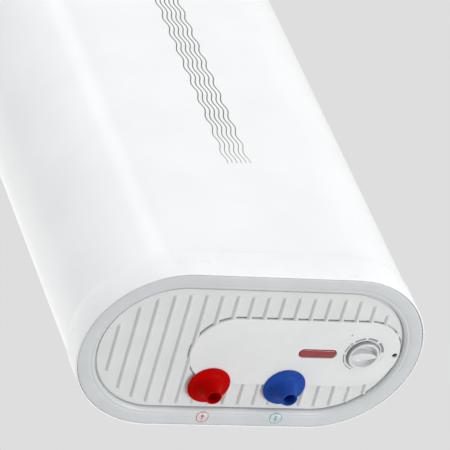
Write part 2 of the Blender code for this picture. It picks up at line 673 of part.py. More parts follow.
def make_knob():
    """Cup-shaped knob on its own axis: sloping side, rim, cup, grip blade and hub."""
    base = KNOB_RISE - SEAT_GAP
    cup_top = KNOB_CUP_DEPTH
    hub_top = cup_top + KNOB_HUB_HEIGHT
    inner = KNOB_CUP_RADIUS - KNOB_WALL
    socket = SPINDLE_RADIUS + SEAT_GAP
    floor = cup_top - KNOB_FLOOR
    profile = [
        (0, cup_top - KNOB_FLOOR / 2),
        (socket, cup_top - KNOB_FLOOR / 2),
        (socket, hub_top),
        (KNOB_HUB_RADIUS, hub_top),
        (KNOB_HUB_RADIUS, cup_top),
        (KNOB_CUP_RADIUS, cup_top),
        (KNOB_CUP_RADIUS, base),
        (KNOB_BASE_RADIUS, base),
        (KNOB_BASE_RADIUS, base - KNOB_RIM / 2),
        (KNOB_FACE_RADIUS + KNOB_RIM / 3, KNOB_RIM / 3),
        (KNOB_FACE_RADIUS, 0),
        (KNOB_FACE_RADIUS - KNOB_RIM, 0),
        (KNOB_FACE_RADIUS - KNOB_RIM * 3 / 2, KNOB_RIM / 2),
        (inner + KNOB_RIM / 2, base),
        (inner * KNOB_BOWL_SHARE, (base + floor) / 2),
        (inner * KNOB_BOWL_FLOOR_SHARE, floor - KNOB_FLOOR / 5),
        (0, floor),
    ]
    at = (KNOB_X, KNOB_Y, KNOB_FACE)
    knob = turned("thermostat_knob", profile, KNOB_PLASTIC, at)
    half = BLADE_WIDTH / 2
    rings = [
        lens_ring(inner * BLADE_ROOT_SHARE, half / BLADE_ROOT_SHARE, floor + KNOB_FLOOR / 4),
        lens_ring(inner + KNOB_WALL / 2, half / BLADE_WAIST_SHARE, base),
        lens_ring(KNOB_FACE_RADIUS - KNOB_RIM, half, KNOB_RIM),
        lens_ring(KNOB_FACE_RADIUS - KNOB_RIM * 3 / 2, half * BLADE_EDGE_SHARE, KNOB_RIM / 4),
        lens_ring(KNOB_FACE_RADIUS - KNOB_RIM * 3, half * BLADE_CREST_SHARE, 0),
    ]
    join(knob, lofted("blade", rings, KNOB_PLASTIC, at))
    spindle_bottom = cup_top - KNOB_FLOOR / 2 + SEAT_GAP
    spindle_top = HOUSING_TOP - THERMOSTAT_HEIGHT + SPINDLE_REACH - KNOB_FACE
    rod("thermostat_spindle", SPINDLE_RADIUS, spindle_bottom, spindle_top, STEEL, at, SMALL_STEPS)


def make_spigot_sleeve(name, x, finish):
    """Flared sleeve over a pipe's end, narrow at its mouth."""
    spread = FLARE_RADIUS - SPIGOT_MOUTH_RADIUS
    flare = [(SPIGOT_MOUTH_RADIUS + across * spread, FLARE_TOP - drop * SPIGOT_HEIGHT)
             for across, drop in FLARE_SHARES]
    lip = SPIGOT_WALL / 4
    socket = PIPE_RADIUS + SEAT_GAP
    seat = PIPE_END - SEAT_GAP
    profile = flare + [
        (SPIGOT_MOUTH_RADIUS + lip, SPIGOT_MOUTH + SPIGOT_WALL / 2),
        (SPIGOT_MOUTH_RADIUS, SPIGOT_MOUTH),
        (SPIGOT_BORE_RADIUS + lip, SPIGOT_MOUTH),
        (SPIGOT_BORE_RADIUS, SPIGOT_MOUTH + lip),
        (SPIGOT_BORE_RADIUS, seat),
        (socket, seat),
        (socket, FLARE_TOP - SPIGOT_WALL / 3),
        (FLARE_RADIUS - SPIGOT_WALL, FLARE_TOP),
        (FLARE_RADIUS - SPIGOT_WALL / 4, FLARE_TOP),
    ]
    return turned(name, profile, finish, (x, PIPE_ROW_Y, 0), closed=True)


def make_pipes():
    """Steel pipes from the spigots into the tanks; the hot one rises to the top of its tank."""
    hot_top = TANK_TOP - HOT_PIPE_TOP_GAP
    for name, x, top in (("hot_outlet_pipe", HOT_X, hot_top), ("cold_inlet_pipe", COLD_X, COLD_PIPE_TOP)):
        profile = [
            (PIPE_RADIUS, PIPE_END), (PIPE_RADIUS, top),
            (PIPE_BORE_RADIUS, top), (PIPE_BORE_RADIUS, PIPE_END),
        ]
        turned(name, profile, STEEL, (x, PIPE_ROW_Y, 0), TURN_STEPS // 2, closed=True)
    inner = PIPE_RADIUS + SEAT_GAP
    outer = inner + DIFFUSER_WALL
    seat = COLD_PIPE_TOP + SEAT_GAP
    top = COLD_PIPE_TOP + DIFFUSER_HEIGHT
    profile = [
        (0, top), (outer, top),
        (outer, seat - DIFFUSER_HEIGHT / 2), (inner, seat - DIFFUSER_HEIGHT / 2),
        (inner, seat), (PIPE_BORE_RADIUS, seat),
        (PIPE_BORE_RADIUS, top - DIFFUSER_WALL), (0, top - DIFFUSER_WALL),
    ]
    diffuser = turned("inlet_diffuser", profile, CREAM_PLASTIC, (COLD_X, PIPE_ROW_Y, 0), TURN_STEPS // 2)
    port = (DIFFUSER_HEIGHT - 4 * DIFFUSER_WALL) / 2
    middle = (seat + top - DIFFUSER_WALL) / 2
    cutter = block("port", (4 * outer, 2 * port, port), STEEL, (COLD_X, PIPE_ROW_Y, middle))
    cut(diffuser, cutter)


def tank_outline(grow):
    """Half profile of a tank's outside, from its peak down to the neck, grown by a clearance."""
    radius = TANK_RADIUS + grow
    points = []
    for step in range(DOME_STEPS + 1):
        angle = math.pi / 2 * step / DOME_STEPS
        points.append((radius * math.sin(angle), TANK_TOP + (TANK_DOME + grow) * math.cos(angle)))
    neck = NECK_RADIUS + grow
    start = math.acos(neck / radius)
    for step in range(DOME_STEPS):
        angle = start * step / (DOME_STEPS - 1)
        points.append((radius * math.cos(angle), TANK_BOTTOM - (TANK_DOME + grow) * math.sin(angle)))
    return points


def make_tank(name, x):
    """Domed tank with an open neck and a welded ring for the flange."""
    outside = tank_outline(0)
    inside = tank_outline(-TANK_WALL)
    ring_top = NECK_RING_BOTTOM + NECK_RING_HEIGHT
    neck_inner = NECK_RADIUS - NECK_WALL
    inside[-1] = (neck_inner, inside[-1][1])
    profile = outside + [
        (NECK_RADIUS, ring_top),
        (NECK_RING_RADIUS, ring_top),
        (NECK_RING_RADIUS, NECK_RING_BOTTOM),
        (neck_inner, NECK_RING_BOTTOM),
    ] + list(reversed(inside))
    tank = turned(name, profile, STEEL, (x, 0, 0), TANK_STEPS)
    for spot in flange_bolt_spots(x):
        cut_round(tank, FLANGE_BOLT_RADIUS + SEAT_GAP, NECK_RING_BOTTOM - CUT_OVERRUN, ring_top + CUT_OVERRUN,
                  spot, HOLE_STEPS)
    return tank


def flange_bolt_spots(x):
    """Places of a flange's bolts round its tank's axis."""
    spots = []
    for index in range(FLANGE_BOLTS):
        angle = 2 * math.pi * (index + 0.5) / FLANGE_BOLTS
        spots.append((x + FLANGE_BOLT_CIRCLE * math.cos(angle), FLANGE_BOLT_CIRCLE * math.sin(angle), 0))
    return spots


def make_tanks():
    """Both tanks, with the holes that the pipes and the link pass through."""
    left = make_tank("inner_tank_left", -TANK_X)
    right = make_tank("inner_tank_right", TANK_X)
    for tank, x in ((left, HOT_X), (right, COLD_X)):
        cut_round(tank, PIPE_RADIUS + SEAT_GAP, NECK_RING_BOTTOM, TANK_BOTTOM + TANK_DOME, (x, PIPE_ROW_Y, 0))
        cut_link_hole(tank)


def cut_link_hole(target):
    """Cuts the link's way between the tanks, along X."""
    drill = rod("drill", LINK_RADIUS + SEAT_GAP, -TANK_SPACING / 4, TANK_SPACING / 4, STEEL,
                (0, 0, LINK_LEVEL), LINK_SIDES)
    drill.rotation_euler = (0, math.pi / 2, 0)
    cut(target, drill)


def link_path():
    """Centre line of the link: down from the right tank's top, round a bend and into the left tank."""
    intake = TANK_TOP - LINK_INTAKE_GAP
    corner_x = TANK_X - TANK_RADIUS + LINK_BEND + LINK_REACH
    path = [(corner_x, intake)]
    path += arc((corner_x - LINK_BEND, LINK_LEVEL + LINK_BEND), LINK_BEND, 0, -math.pi / 2, 6)
    path.append((TANK_RADIUS - TANK_X - LINK_REACH, LINK_LEVEL))
    return path


def make_link():
    """Bent pipe that carries the water from the top of one tank to the foot of the other."""
    path = link_path()
    loops = {}
    for radius in (LINK_RADIUS, LINK_RADIUS - LINK_WALL):
        rings = []
        for index, (x, z) in enumerate(path):
            before = path[max(index - 1, 0)]
            after = path[min(index + 1, len(path) - 1)]
            tangent = Vector((after[0] - before[0], 0, after[1] - before[1])).normalized()
            side = tangent.cross(Vector((0, 1, 0)))
            ring = []
            for step in range(LINK_SIDES):
                angle = 2 * math.pi * step / LINK_SIDES
                spoke = side * math.cos(angle) + Vector((0, 1, 0)) * math.sin(angle)
                ring.append(Vector((x, 0, z)) + radius * spoke)
            rings.append(ring)
        loops[radius] = rings
    rings = loops[LINK_RADIUS] + list(reversed(loops[LINK_RADIUS - LINK_WALL]))
    lofted("tank_link_pipe", rings, STEEL, closed=True)


def make_flange_plate(name, x, holes):
    """Round plate that closes a neck, with holes for what it carries."""
    plate = rod(name, FLANGE_RADIUS, FLANGE_BOTTOM, FLANGE_TOP, ZINC, (x, 0, 0), TANK_STEPS)
    for hole_x, hole_y, radius in holes:
        cut_round(plate, radius + SEAT_GAP, FLANGE_BOTTOM - CUT_OVERRUN, FLANGE_TOP + CUT_OVERRUN,
                  (x + hole_x, hole_y, 0), HOLE_STEPS)
    for spot in flange_bolt_spots(x):
        cut_round(plate, FLANGE_BOLT_RADIUS + SEAT_GAP, FLANGE_BOTTOM - CUT_OVERRUN, FLANGE_TOP + CUT_OVERRUN,
                  spot, HOLE_STEPS)


def make_gasket(name, x):
    """Rubber ring between the neck's ring and the plate."""
    bottom = FLANGE_TOP + SEAT_GAP
    top = NECK_RING_BOTTOM - SEAT_GAP
    profile = [(FLANGE_RADIUS, bottom), (FLANGE_RADIUS, top), (NECK_RADIUS, top), (NECK_RADIUS, bottom)]
    gasket = turned(name, profile, RUBBER, (x, 0, 0), TANK_STEPS, closed=True)
    for spot in flange_bolt_spots(x):
        cut_round(gasket, FLANGE_BOLT_RADIUS + SEAT_GAP, bottom - CUT_OVERRUN, top + CUT_OVERRUN,
                  spot, HOLE_STEPS)


def make_flange_bolts(side, x):
    """Hexagon-head bolts from below into the neck's ring."""
    seat = FLANGE_BOTTOM - SEAT_GAP
    for index, spot in enumerate(flange_bolt_spots(x)):
        name = f"flange_bolt_{side}_{index + 1}"
        bolt = rod(name, FLANGE_BOLT_HEAD_RADIUS, seat - FLANGE_BOLT_HEAD_HEIGHT, seat, ZINC, spot, 6)
        shank = rod("shank", FLANGE_BOLT_RADIUS, seat - FLANGE_BOLT_HEAD_HEIGHT / 2,
                    NECK_RING_BOTTOM + NECK_RING_HEIGHT, ZINC, spot, HOLE_STEPS)
        join(bolt, shank)


def make_heating_element(name, x):
    """Hairpin tube with its two cold ends through the flange."""
    bottom = FLANGE_BOTTOM - ELEMENT_TERMINAL_DROP
    path = [(ELEMENT_HALF_SPREAD, bottom)]
    path += arc((0, ELEMENT_TOP), ELEMENT_HALF_SPREAD, 0, math.pi, ELEMENT_BEND_STEPS)
    path.append((-ELEMENT_HALF_SPREAD, bottom))
    curve = bpy.data.curves.new(name, "CURVE")
    curve.dimensions = "3D"
    curve.bevel_depth = ELEMENT_RADIUS
    curve.bevel_resolution = 2
    curve.use_fill_caps = True
    spline = curve.splines.new("POLY")
    spline.points.add(len(path) - 1)
    for point, (y, z) in zip(spline.points, path):
        point.co = (0, y, z, 1)
    curve.materials.append(COPPER.material())
    element = bpy.data.objects.new(name, curve)
    element.location = (x + ELEMENT_X, 0, 0)
    bpy.context.collection.objects.link(element)


def make_anode(name, x):
    """Magnesium rod on a stud, with its nut below the flange."""
    nut_top = FLANGE_BOTTOM - SEAT_GAP
    rod_bottom = FLANGE_TOP + SEAT_GAP
    profile = [
        (0, nut_top - ANODE_STUD_LENGTH + FLANGE_THICKNESS),
        (ANODE_STUD_RADIUS, nut_top - ANODE_STUD_LENGTH + FLANGE_THICKNESS),
        (ANODE_STUD_RADIUS, nut_top - ANODE_NUT_HEIGHT),
        (ANODE_NUT_RADIUS, nut_top - ANODE_NUT_HEIGHT),
        (ANODE_NUT_RADIUS, nut_top),
        (ANODE_STUD_RADIUS, nut_top),
        (ANODE_STUD_RADIUS, rod_bottom),
        (ANODE_RADIUS, rod_bottom),
        (ANODE_RADIUS, rod_bottom + ANODE_LENGTH),
        (0, rod_bottom + ANODE_LENGTH),
    ]
    turned(name, profile, MAGNESIUM, (x + ANODE_X, 0, 0), SMALL_STEPS)


def make_flange_sets():
    """Everything that hangs on the two flanges."""
    for side, x in (("left", -TANK_X), ("right", TANK_X)):
        holes = [
            (ELEMENT_X, ELEMENT_HALF_SPREAD, ELEMENT_RADIUS),
            (ELEMENT_X, -ELEMENT_HALF_SPREAD, ELEMENT_RADIUS),
            (ANODE_X, 0, ANODE_STUD_RADIUS),
        ]
        if side == "right":
            holes.append((WELL_X, 0, WELL_RADIUS))
        make_flange_plate(f"flange_plate_{side}", x, holes)
        make_gasket(f"flange_gasket_{side}", x)
        make_flange_bolts(side, x)
        make_heating_element(f"heating_element_{side}", x)
        make_anode(f"anode_rod_{side}", x)


def make_thermostat():
    """Pocket in the right flange, the sensing stem in it, and the housing that the knob turns."""
    collar_top = FLANGE_BOTTOM - SEAT_GAP
    inner = WELL_RADIUS - WELL_WALL
    profile = [
        (0, WELL_TOP), (WELL_RADIUS, WELL_TOP),
        (WELL_RADIUS, collar_top), (WELL_COLLAR_RADIUS, collar_top),
        (WELL_COLLAR_RADIUS, WELL_COLLAR_BOTTOM), (inner, WELL_COLLAR_BOTTOM),
        (inner, WELL_TOP - WELL_WALL), (0, WELL_TOP - WELL_WALL),
    ]
    at = (TANK_X + WELL_X, 0, 0)
    turned("thermowell", profile, COPPER, at, SMALL_STEPS)
    rod("thermostat_stem", STEM_RADIUS, HOUSING_TOP + SEAT_GAP, WELL_TOP - STEM_TIP_GAP, COPPER, at,
        SMALL_STEPS)
    size = (THERMOSTAT_LENGTH, THERMOSTAT_WIDTH, THERMOSTAT_HEIGHT)
    middle = (THERMOSTAT_X, 0, HOUSING_TOP - THERMOSTAT_HEIGHT / 2)
    housing = block("thermostat_housing", size, BLACK_PLASTIC, middle, THERMOSTAT_ROUND)
    bottom = HOUSING_TOP - THERMOSTAT_HEIGHT
    cut_round(housing, SPINDLE_RADIUS + SEAT_GAP, bottom - CUT_OVERRUN, bottom + SPINDLE_REACH + SEAT_GAP,
              (KNOB_X, KNOB_Y, 0), SMALL_STEPS)
    cutout_top = FLANGE_BOTTOM - SEAT_GAP
    rod("thermal_cutout", CUTOUT_RADIUS, cutout_top - CUTOUT_HEIGHT, cutout_top, CREAM_PLASTIC,
        (CUTOUT_X - TANK_X, 0, 0), SMALL_STEPS)


def make_terminal_block():
    """Three-pole block on the panel's back, with a groove between the poles."""
    bottom = PANEL_BACK + SEAT_GAP
    at = (TERMINAL_X, TERMINAL_Y, bottom + TERMINAL_HEIGHT / 2)
    terminal = block("terminal_block", (TERMINAL_LENGTH, TERMINAL_WIDTH, TERMINAL_HEIGHT), CREAM_PLASTIC, at,
                     THERMOSTAT_ROUND / 2)
    pole = TERMINAL_LENGTH / TERMINAL_POLES
    for index in range(1, TERMINAL_POLES):
        x = TERMINAL_X - TERMINAL_LENGTH / 2 + index * pole
        groove = block("groove", (TERMINAL_GROOVE, 2 * TERMINAL_WIDTH, TERMINAL_HEIGHT), STEEL,
                       (x, TERMINAL_Y, bottom + TERMINAL_HEIGHT))
        cut(terminal, groove)


def make_cable_gland():
    """Rubber inlet in the back of the skirt, with an open bore."""
    profile = [
        (GLAND_BORE_RADIUS, GLAND_FLANGE + SEAT_GAP),
        (GLAND_FLANGE_RADIUS - GLAND_FLANGE / 2, GLAND_FLANGE + SEAT_GAP),
        (GLAND_FLANGE_RADIUS, SEAT_GAP + GLAND_FLANGE / 2),
        (GLAND_FLANGE_RADIUS, SEAT_GAP),
        (GLAND_RADIUS, SEAT_GAP),
        (GLAND_RADIUS, -SKIRT_WALL - GLAND_NECK),
        (GLAND_BORE_RADIUS, -SKIRT_WALL - GLAND_NECK),
    ]
    at = (GLAND_X, DEPTH / 2, GLAND_LEVEL)
    gland = turned("cable_gland", profile, RUBBER, at, SMALL_STEPS, closed=True)
    gland.rotation_euler = (-math.pi / 2, 0, 0)


def smooth_route(knots):
    """Points of a smooth curve through the knots of a wire."""
    padded = [knots[0]] + list(knots) + [knots[-1]]
    points = []
    for index in range(1, len(padded) - 2):
        p0, p1, p2, p3 = (Vector(padded[index + shift]) for shift in (-1, 0, 1, 2))
        for step in range(WIRE_POINTS_PER_LEG):
            t = step / WIRE_POINTS_PER_LEG
            points.append(0.5 * (2 * p1 + (p2 - p0) * t + (2 * p0 - 5 * p1 + 4 * p2 - p3) * t * t
                                 + (3 * p1 - p0 - 3 * p2 + p3) * t * t * t))
    points.append(Vector(knots[-1]))
    return points


def make_wire(name, knots, finish):
    """An insulated wire along a smooth route."""
    curve = bpy.data.curves.new(name, "CURVE")
    curve.dimensions = "3D"
    curve.bevel_depth = WIRE_RADIUS
    curve.bevel_resolution = 1
    curve.use_fill_caps = True
    points = smooth_route(knots)
    spline = curve.splines.new("POLY")
    spline.points.add(len(points) - 1)
    for point, place in zip(spline.points, points):
        point.co = (*place, 1)
    curve.materials.append(finish.material())
    wire = bpy.data.objects.new(name, curve)
    bpy.context.collection.objects.link(wire)


def make_wires():
    """Inner wires between the terminal block, the thermostat, the lamp and the left element."""
    block_top = PANEL_BACK + SEAT_GAP + TERMINAL_HEIGHT + WIRE_END_GAP
    pole = TERMINAL_LENGTH / TERMINAL_POLES
    housing_left = THERMOSTAT_X - THERMOSTAT_LENGTH / 2 - WIRE_END_GAP
    housing_front = -THERMOSTAT_WIDTH / 2 - WIRE_END_GAP
    element_end = FLANGE_BOTTOM - ELEMENT_TERMINAL_DROP - WIRE_END_GAP
    lamp_top = COVER_FACE - LENS_PROUD + LENS_HEIGHT + SEAT_GAP + LAMP_HEIGHT + WIRE_END_GAP
    middle = HOUSING_TOP - THERMOSTAT_HEIGHT / 2
    rise = WIRE_RADIUS * 5
    make_wire("supply_wire", [
        (TERMINAL_X + pole, TERMINAL_Y, block_top),
        (TERMINAL_X + pole, TERMINAL_Y, block_top + rise),
        (LENS_X, 2 * housing_front, middle),
        (THERMOSTAT_X, 2 * housing_front, middle),
        (THERMOSTAT_X, housing_front, middle),
    ], BROWN_WIRE)
    make_wire("lamp_wire", [
        (LENS_X, LENS_Y, lamp_top),
        (LENS_X, LENS_Y, lamp_top + rise),
        (housing_left - rise, 0, middle),
        (housing_left, 0, middle),
    ], BLUE_WIRE)
    make_wire("element_wire", [
        (TERMINAL_X, TERMINAL_Y, block_top),
        (TERMINAL_X, TERMINAL_Y, block_top + rise),
        (HOT_X, TERMINAL_Y + WIRE_SPREAD, middle),
        (ELEMENT_X - TANK_X, -ELEMENT_HALF_SPREAD, element_end - rise),
        (ELEMENT_X - TANK_X, -ELEMENT_HALF_SPREAD, element_end),
    ], BLUE_WIRE)
    bolt = flange_bolt_spots(-TANK_X)[3]
    bolt_end = FLANGE_BOTTOM - SEAT_GAP - FLANGE_BOLT_HEAD_HEIGHT - WIRE_END_GAP
    make_wire("earth_wire", [
        (TERMINAL_X - pole, TERMINAL_Y, block_top),
        (TERMINAL_X - pole, TERMINAL_Y, block_top + rise),
        (HOT_X, TERMINAL_Y - WIRE_SPREAD, middle),
        (bolt[0], bolt[1], bolt_end - rise),
        (bolt[0], bolt[1], bolt_end),
    ], GREEN_WIRE)


def make_foam():
    """Foam that fills the casing round the tanks."""
    inset = CASING_INNER + SEAT_GAP
    neck_inset = TONGUE_INNER + SEAT_GAP
    tongue_end = CAP_BOTTOM - TONGUE_HEIGHT - SEAT_GAP
    crown = (CAP_ROUND, HEIGHT - CAP_ROUND)
    radius = (CAP_ROUND - CAP_WALL) * math.cos(math.pi / CROWN_STEPS / 4) - SEAT_GAP
    start = math.acos((CAP_ROUND - neck_inset) / radius)
    top = arc(crown, radius, math.pi - start, math.pi / 2, 5)
    profile = [(inset, FOAM_BOTTOM), (inset, tongue_end), (neck_inset, tongue_end)] + top
    foam = lofted("foam_insulation", [stadium(*point) for point in profile], FOAM)
    for x in (-TANK_X, TANK_X):
        outline = tank_outline(SEAT_GAP)
        neck = NECK_RADIUS + SEAT_GAP
        below = FOAM_BOTTOM - CUT_OVERRUN
        core = turned("core", outline + [(neck, below), (0, below)], STEEL, (x, 0, 0), TANK_STEPS)
        cut(foam, core)
    for x in (HOT_X, COLD_X):
        cut_round(foam, PIPE_RADIUS + SEAT_GAP, FOAM_BOTTOM - CUT_OVERRUN, TANK_BOTTOM + TANK_DOME,
                  (x, PIPE_ROW_Y, 0))
    cut_link_hole(foam)
    size = (BAR_LENGTH + 2 * SEAT_GAP, BAR_THICKNESS + 2 * SEAT_GAP, BAR_HEIGHT + 2 * SEAT_GAP)
    cut(foam, block("pocket", size, STEEL, (0, TANK_RADIUS + SEAT_GAP + BAR_THICKNESS / 2, BRACKET_LEVEL)))
    for side in (-1, 1):
        cut_round(foam, HANGER_BOLT_RADIUS + SEAT_GAP, -HANGER_BOLT_TAIL - SEAT_GAP, DEPTH / 2 - TANK_RADIUS,
                  (side * HANGER_BOLT_X, TANK_RADIUS + SEAT_GAP, BRACKET_LEVEL), SMALL_STEPS, "Y")


def make_hanger():
    """Bar welded behind the tanks, and the two bolts that hold the wall bracket to it."""
    middle_y = TANK_RADIUS + SEAT_GAP + BAR_THICKNESS / 2
    size = (BAR_LENGTH, BAR_THICKNESS, BAR_HEIGHT)
    bar = block("tank_hanger_bar", size, ZINC, (0, middle_y, BRACKET_LEVEL))
    seat = CASING_BACK_Y + SEAT_GAP + BRACKET_SHEET + SEAT_GAP
    for side, word in ((-1, "left"), (1, "right")):
        at = (side * HANGER_BOLT_X, seat, BRACKET_LEVEL)
        tip = TANK_RADIUS + SEAT_GAP - HANGER_BOLT_TAIL - seat
        bolt = rod(f"hanger_bolt_{word}", HANGER_BOLT_HEAD_RADIUS, 0, HANGER_BOLT_HEAD_HEIGHT, ZINC, at, 6)
        bolt.rotation_euler = (-math.pi / 2, 0, 0)
        shank = rod("shank", HANGER_BOLT_RADIUS, tip, HANGER_BOLT_HEAD_HEIGHT / 2, ZINC, at, SMALL_STEPS)
        shank.rotation_euler = (-math.pi / 2, 0, 0)
        join(bolt, shank)
        cut_round(bar, HANGER_BOLT_RADIUS + SEAT_GAP, -CUT_OVERRUN, BAR_THICKNESS + CUT_OVERRUN,
                  (side * HANGER_BOLT_X, TANK_RADIUS + SEAT_GAP, BRACKET_LEVEL), SMALL_STEPS, "Y")


def make_wall_bracket():
    """Pressed strip: two feet on the casing, and its middle and wings on the wall, with keyhole slots."""
    foot = CASING_BACK_Y + SEAT_GAP + BRACKET_SHEET
    half = [
        (BRACKET_FOOT_INNER - BRACKET_LEG_RUN, WALL_Y),
        (BRACKET_FOOT_INNER, foot),
        (BRACKET_FOOT_OUTER, foot),
        (BRACKET_FOOT_OUTER + BRACKET_LEG_RUN, WALL_Y),
        (BRACKET_HALF_LENGTH, WALL_Y),
    ]
    line = [(-x, y) for x, y in reversed(half)] + half
    bottom = BRACKET_LEVEL - BRACKET_HEIGHT / 2
    bm = bmesh.new()
    low = [bm.verts.new((x, y, bottom)) for x, y in line]
    edges = [bm.edges.new(pair) for pair in zip(low, low[1:])]
    grown = bmesh.ops.extrude_edge_only(bm, edges=edges)["geom"]
    high = [item for item in grown if isinstance(item, bmesh.types.BMVert)]
    bmesh.ops.translate(bm, verts=high, vec=(0, 0, BRACKET_HEIGHT))
    bmesh.ops.recalc_face_normals(bm, faces=bm.faces)
    if bm.faces[0].normal.y < 0:
        bmesh.ops.reverse_faces(bm, faces=bm.faces)
    bmesh.ops.solidify(bm, geom=bm.faces[:], thickness=BRACKET_SHEET)
    bracket = solid("wall_bracket", bm, ZINC)
    for side in (-1, 1):
        x = side * HOOK_SLOT_X
        thickness = BRACKET_SHEET + CUT_OVERRUN
        cut_round(bracket, HOOK_HOLE_RADIUS, -thickness, CUT_OVERRUN,
                  (x, WALL_Y, BRACKET_LEVEL - HOOK_HOLE_DROP), SMALL_STEPS + CORNER_STEPS, "Y")
        rings = []
        for depth in (-thickness, CUT_OVERRUN):
            rings.append([Vector((point.y, WALL_Y + depth, point.x)) for point in
                          slot(HOOK_SLOT_RISE + 2 * HOOK_SLOT_RADIUS, 2 * HOOK_SLOT_RADIUS, 0, 6)])
        middle = BRACKET_LEVEL - HOOK_HOLE_DROP + HOOK_SLOT_RISE / 2
        cut(bracket, lofted("slot", rings, STEEL, (x, 0, middle)))
        cut_round(bracket, HANGER_BOLT_RADIUS + SEAT_GAP, -thickness, CUT_OVERRUN,
                  (side * HANGER_BOLT_X, foot, BRACKET_LEVEL), SMALL_STEPS, "Y")


def make_wall_spacers():
    """Plastic feet low on the casing's back, which keep the heater upright on the wall."""
    reach = WALL_Y - CASING_BACK_Y - SEAT_GAP
    profile = [
        (0, 0), (SPACER_RADIUS, 0), (SPACER_FACE_RADIUS, reach - SPACER_RADIUS / 10),
        (SPACER_FACE_RADIUS - SPACER_RADIUS / 10, reach), (0, reach),
    ]
    for side, word in ((-1, "left"), (1, "right")):
        spacer = turned(f"wall_spacer_{word}", profile, BLACK_PLASTIC,
                        (side * SPACER_X, CASING_BACK_Y + SEAT_GAP, SPACER_LEVEL), SMALL_STEPS)
        spacer.rotation_euler = (-math.pi / 2, 0, 0)


def clear_scene():
    """Removes what the scene holds."""
    for piece in list(bpy.data.objects):
        bpy.data.objects.remove(piece)


def stand_on_body_frame():
    """Parents every piece to the body frame and puts that frame behind the wall bracket's origin."""
    body_frame = bpy.data.objects.new("body_frame", None)
    bpy.context.collection.objects.link(body_frame)
    for piece in list(bpy.data.objects):
        if piece is not body_frame:
            piece.parent = body_frame
    body_frame.matrix_world = Matrix.Translation((0, -WALL_Y, -BRACKET_LEVEL))
    bpy.context.view_layer.update()


def build():
    """Makes the whole heater."""
    clear_scene()
    make_bottom_skirt()
    make_outer_casing()
    make_top_cover()
    make_bottom_bezel()
    make_ribbed_panel()
    make_control_cover()
    make_cover_screw()
    make_indicator()
    make_knob()
    make_spigot_sleeve("hot_outlet_sleeve", HOT_X, RED_PLASTIC)
    make_spigot_sleeve("cold_inlet_sleeve", COLD_X, BLUE_PLASTIC)
    make_pipes()
    make_tanks()
    make_link()
    make_flange_sets()
    make_thermostat()
    make_terminal_block()
    make_cable_gland()
    make_wires()
    make_foam()
    make_hanger()
    make_wall_bracket()
    make_wall_spacers()
    stand_on_body_frame()


build()
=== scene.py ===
"""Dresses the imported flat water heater: fine shapes, finishes, studio and camera.

Lengths are in metres in the row frame: the wall is the plane y = 0, the front faces -Y and +Z is up.
Shapes are drawn in the body frame, whose origin is the centre of the bottom outline, and stand on
BODY_ORIGIN when they are finished.
"""
from __future__ import annotations

import json
import logging
import math
from dataclasses import dataclass
from enum import Enum
from typing import Callable, Iterable, Sequence

import bmesh
import bpy
from mathutils import Matrix, Vector


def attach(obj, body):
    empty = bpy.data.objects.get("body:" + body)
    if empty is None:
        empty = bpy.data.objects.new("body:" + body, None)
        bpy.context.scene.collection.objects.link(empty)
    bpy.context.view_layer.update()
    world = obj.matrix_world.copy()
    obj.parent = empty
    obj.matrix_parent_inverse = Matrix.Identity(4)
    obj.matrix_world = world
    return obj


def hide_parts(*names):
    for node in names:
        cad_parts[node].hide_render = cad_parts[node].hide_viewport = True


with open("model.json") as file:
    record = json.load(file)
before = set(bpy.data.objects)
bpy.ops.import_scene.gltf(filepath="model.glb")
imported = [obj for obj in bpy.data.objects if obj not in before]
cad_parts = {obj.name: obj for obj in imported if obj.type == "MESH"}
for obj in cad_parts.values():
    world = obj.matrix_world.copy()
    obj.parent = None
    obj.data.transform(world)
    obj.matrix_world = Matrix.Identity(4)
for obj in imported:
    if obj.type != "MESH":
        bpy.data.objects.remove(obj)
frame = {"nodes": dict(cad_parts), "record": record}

logging.basicConfig(level=logging.INFO, format="%(levelname)s %(message)s")
LOG = logging.getLogger("heater")

Point = tuple[float, float]
Place = tuple[float, float, float]

MM = 0.001
BODY_ORIGIN = Vector((0.0, -135.0, -700.0)) * MM
TO_ROW_FRAME = Matrix.Translation(BODY_ORIGIN) @ Matrix.Scale(MM, 4)
# Vertices closer than this many millimetres are merged; edges over this many degrees stay sharp
WELD = 0.0005
SHARP_EDGE = 35.0
DOWN = (0.0, 0.0, -1.0)


class BodyName(Enum):
    """Rigid bodies that pieces ride on."""

    HEATER = "heater"
    KNOB = "knob"


@dataclass(frozen=True)
class Layout:
    """Sizes and places that several sub-assemblies share, in millimetres in the body frame."""

    half_width: float = 225.0
    half_depth: float = 120.0
    recess: float = 5.5
    cover_face: float = 2.4
    knob: Point = (148.4, 0.0)
    lens: Point = (88.0, 1.0)
    screw_x: float = 191.5
    hot_x: float = -40.8
    cold_x: float = 59.2
    spigot_y: float = 54.9
    inlet_x: float = 80.0
    inlet_level: float = 27.0
    hanger_x: float = 81.0
    hanger_level: float = 700.0


LAYOUT = Layout()


def linear(hex_colour: str) -> tuple[float, float, float, float]:
    """Turns an sRGB hex colour into linear RGBA.

    Args:
        hex_colour: Six hex digits with a leading hash.

    Returns:
        Linear red, green, blue and an alpha of one.
    """
    channels = [int(hex_colour[i:i + 2], 16) / 255 for i in (1, 3, 5)]
    shades = [c / 12.92 if c <= 0.04045 else ((c + 0.055) / 1.055) ** 2.4 for c in channels]
    return (shades[0], shades[1], shades[2], 1.0)


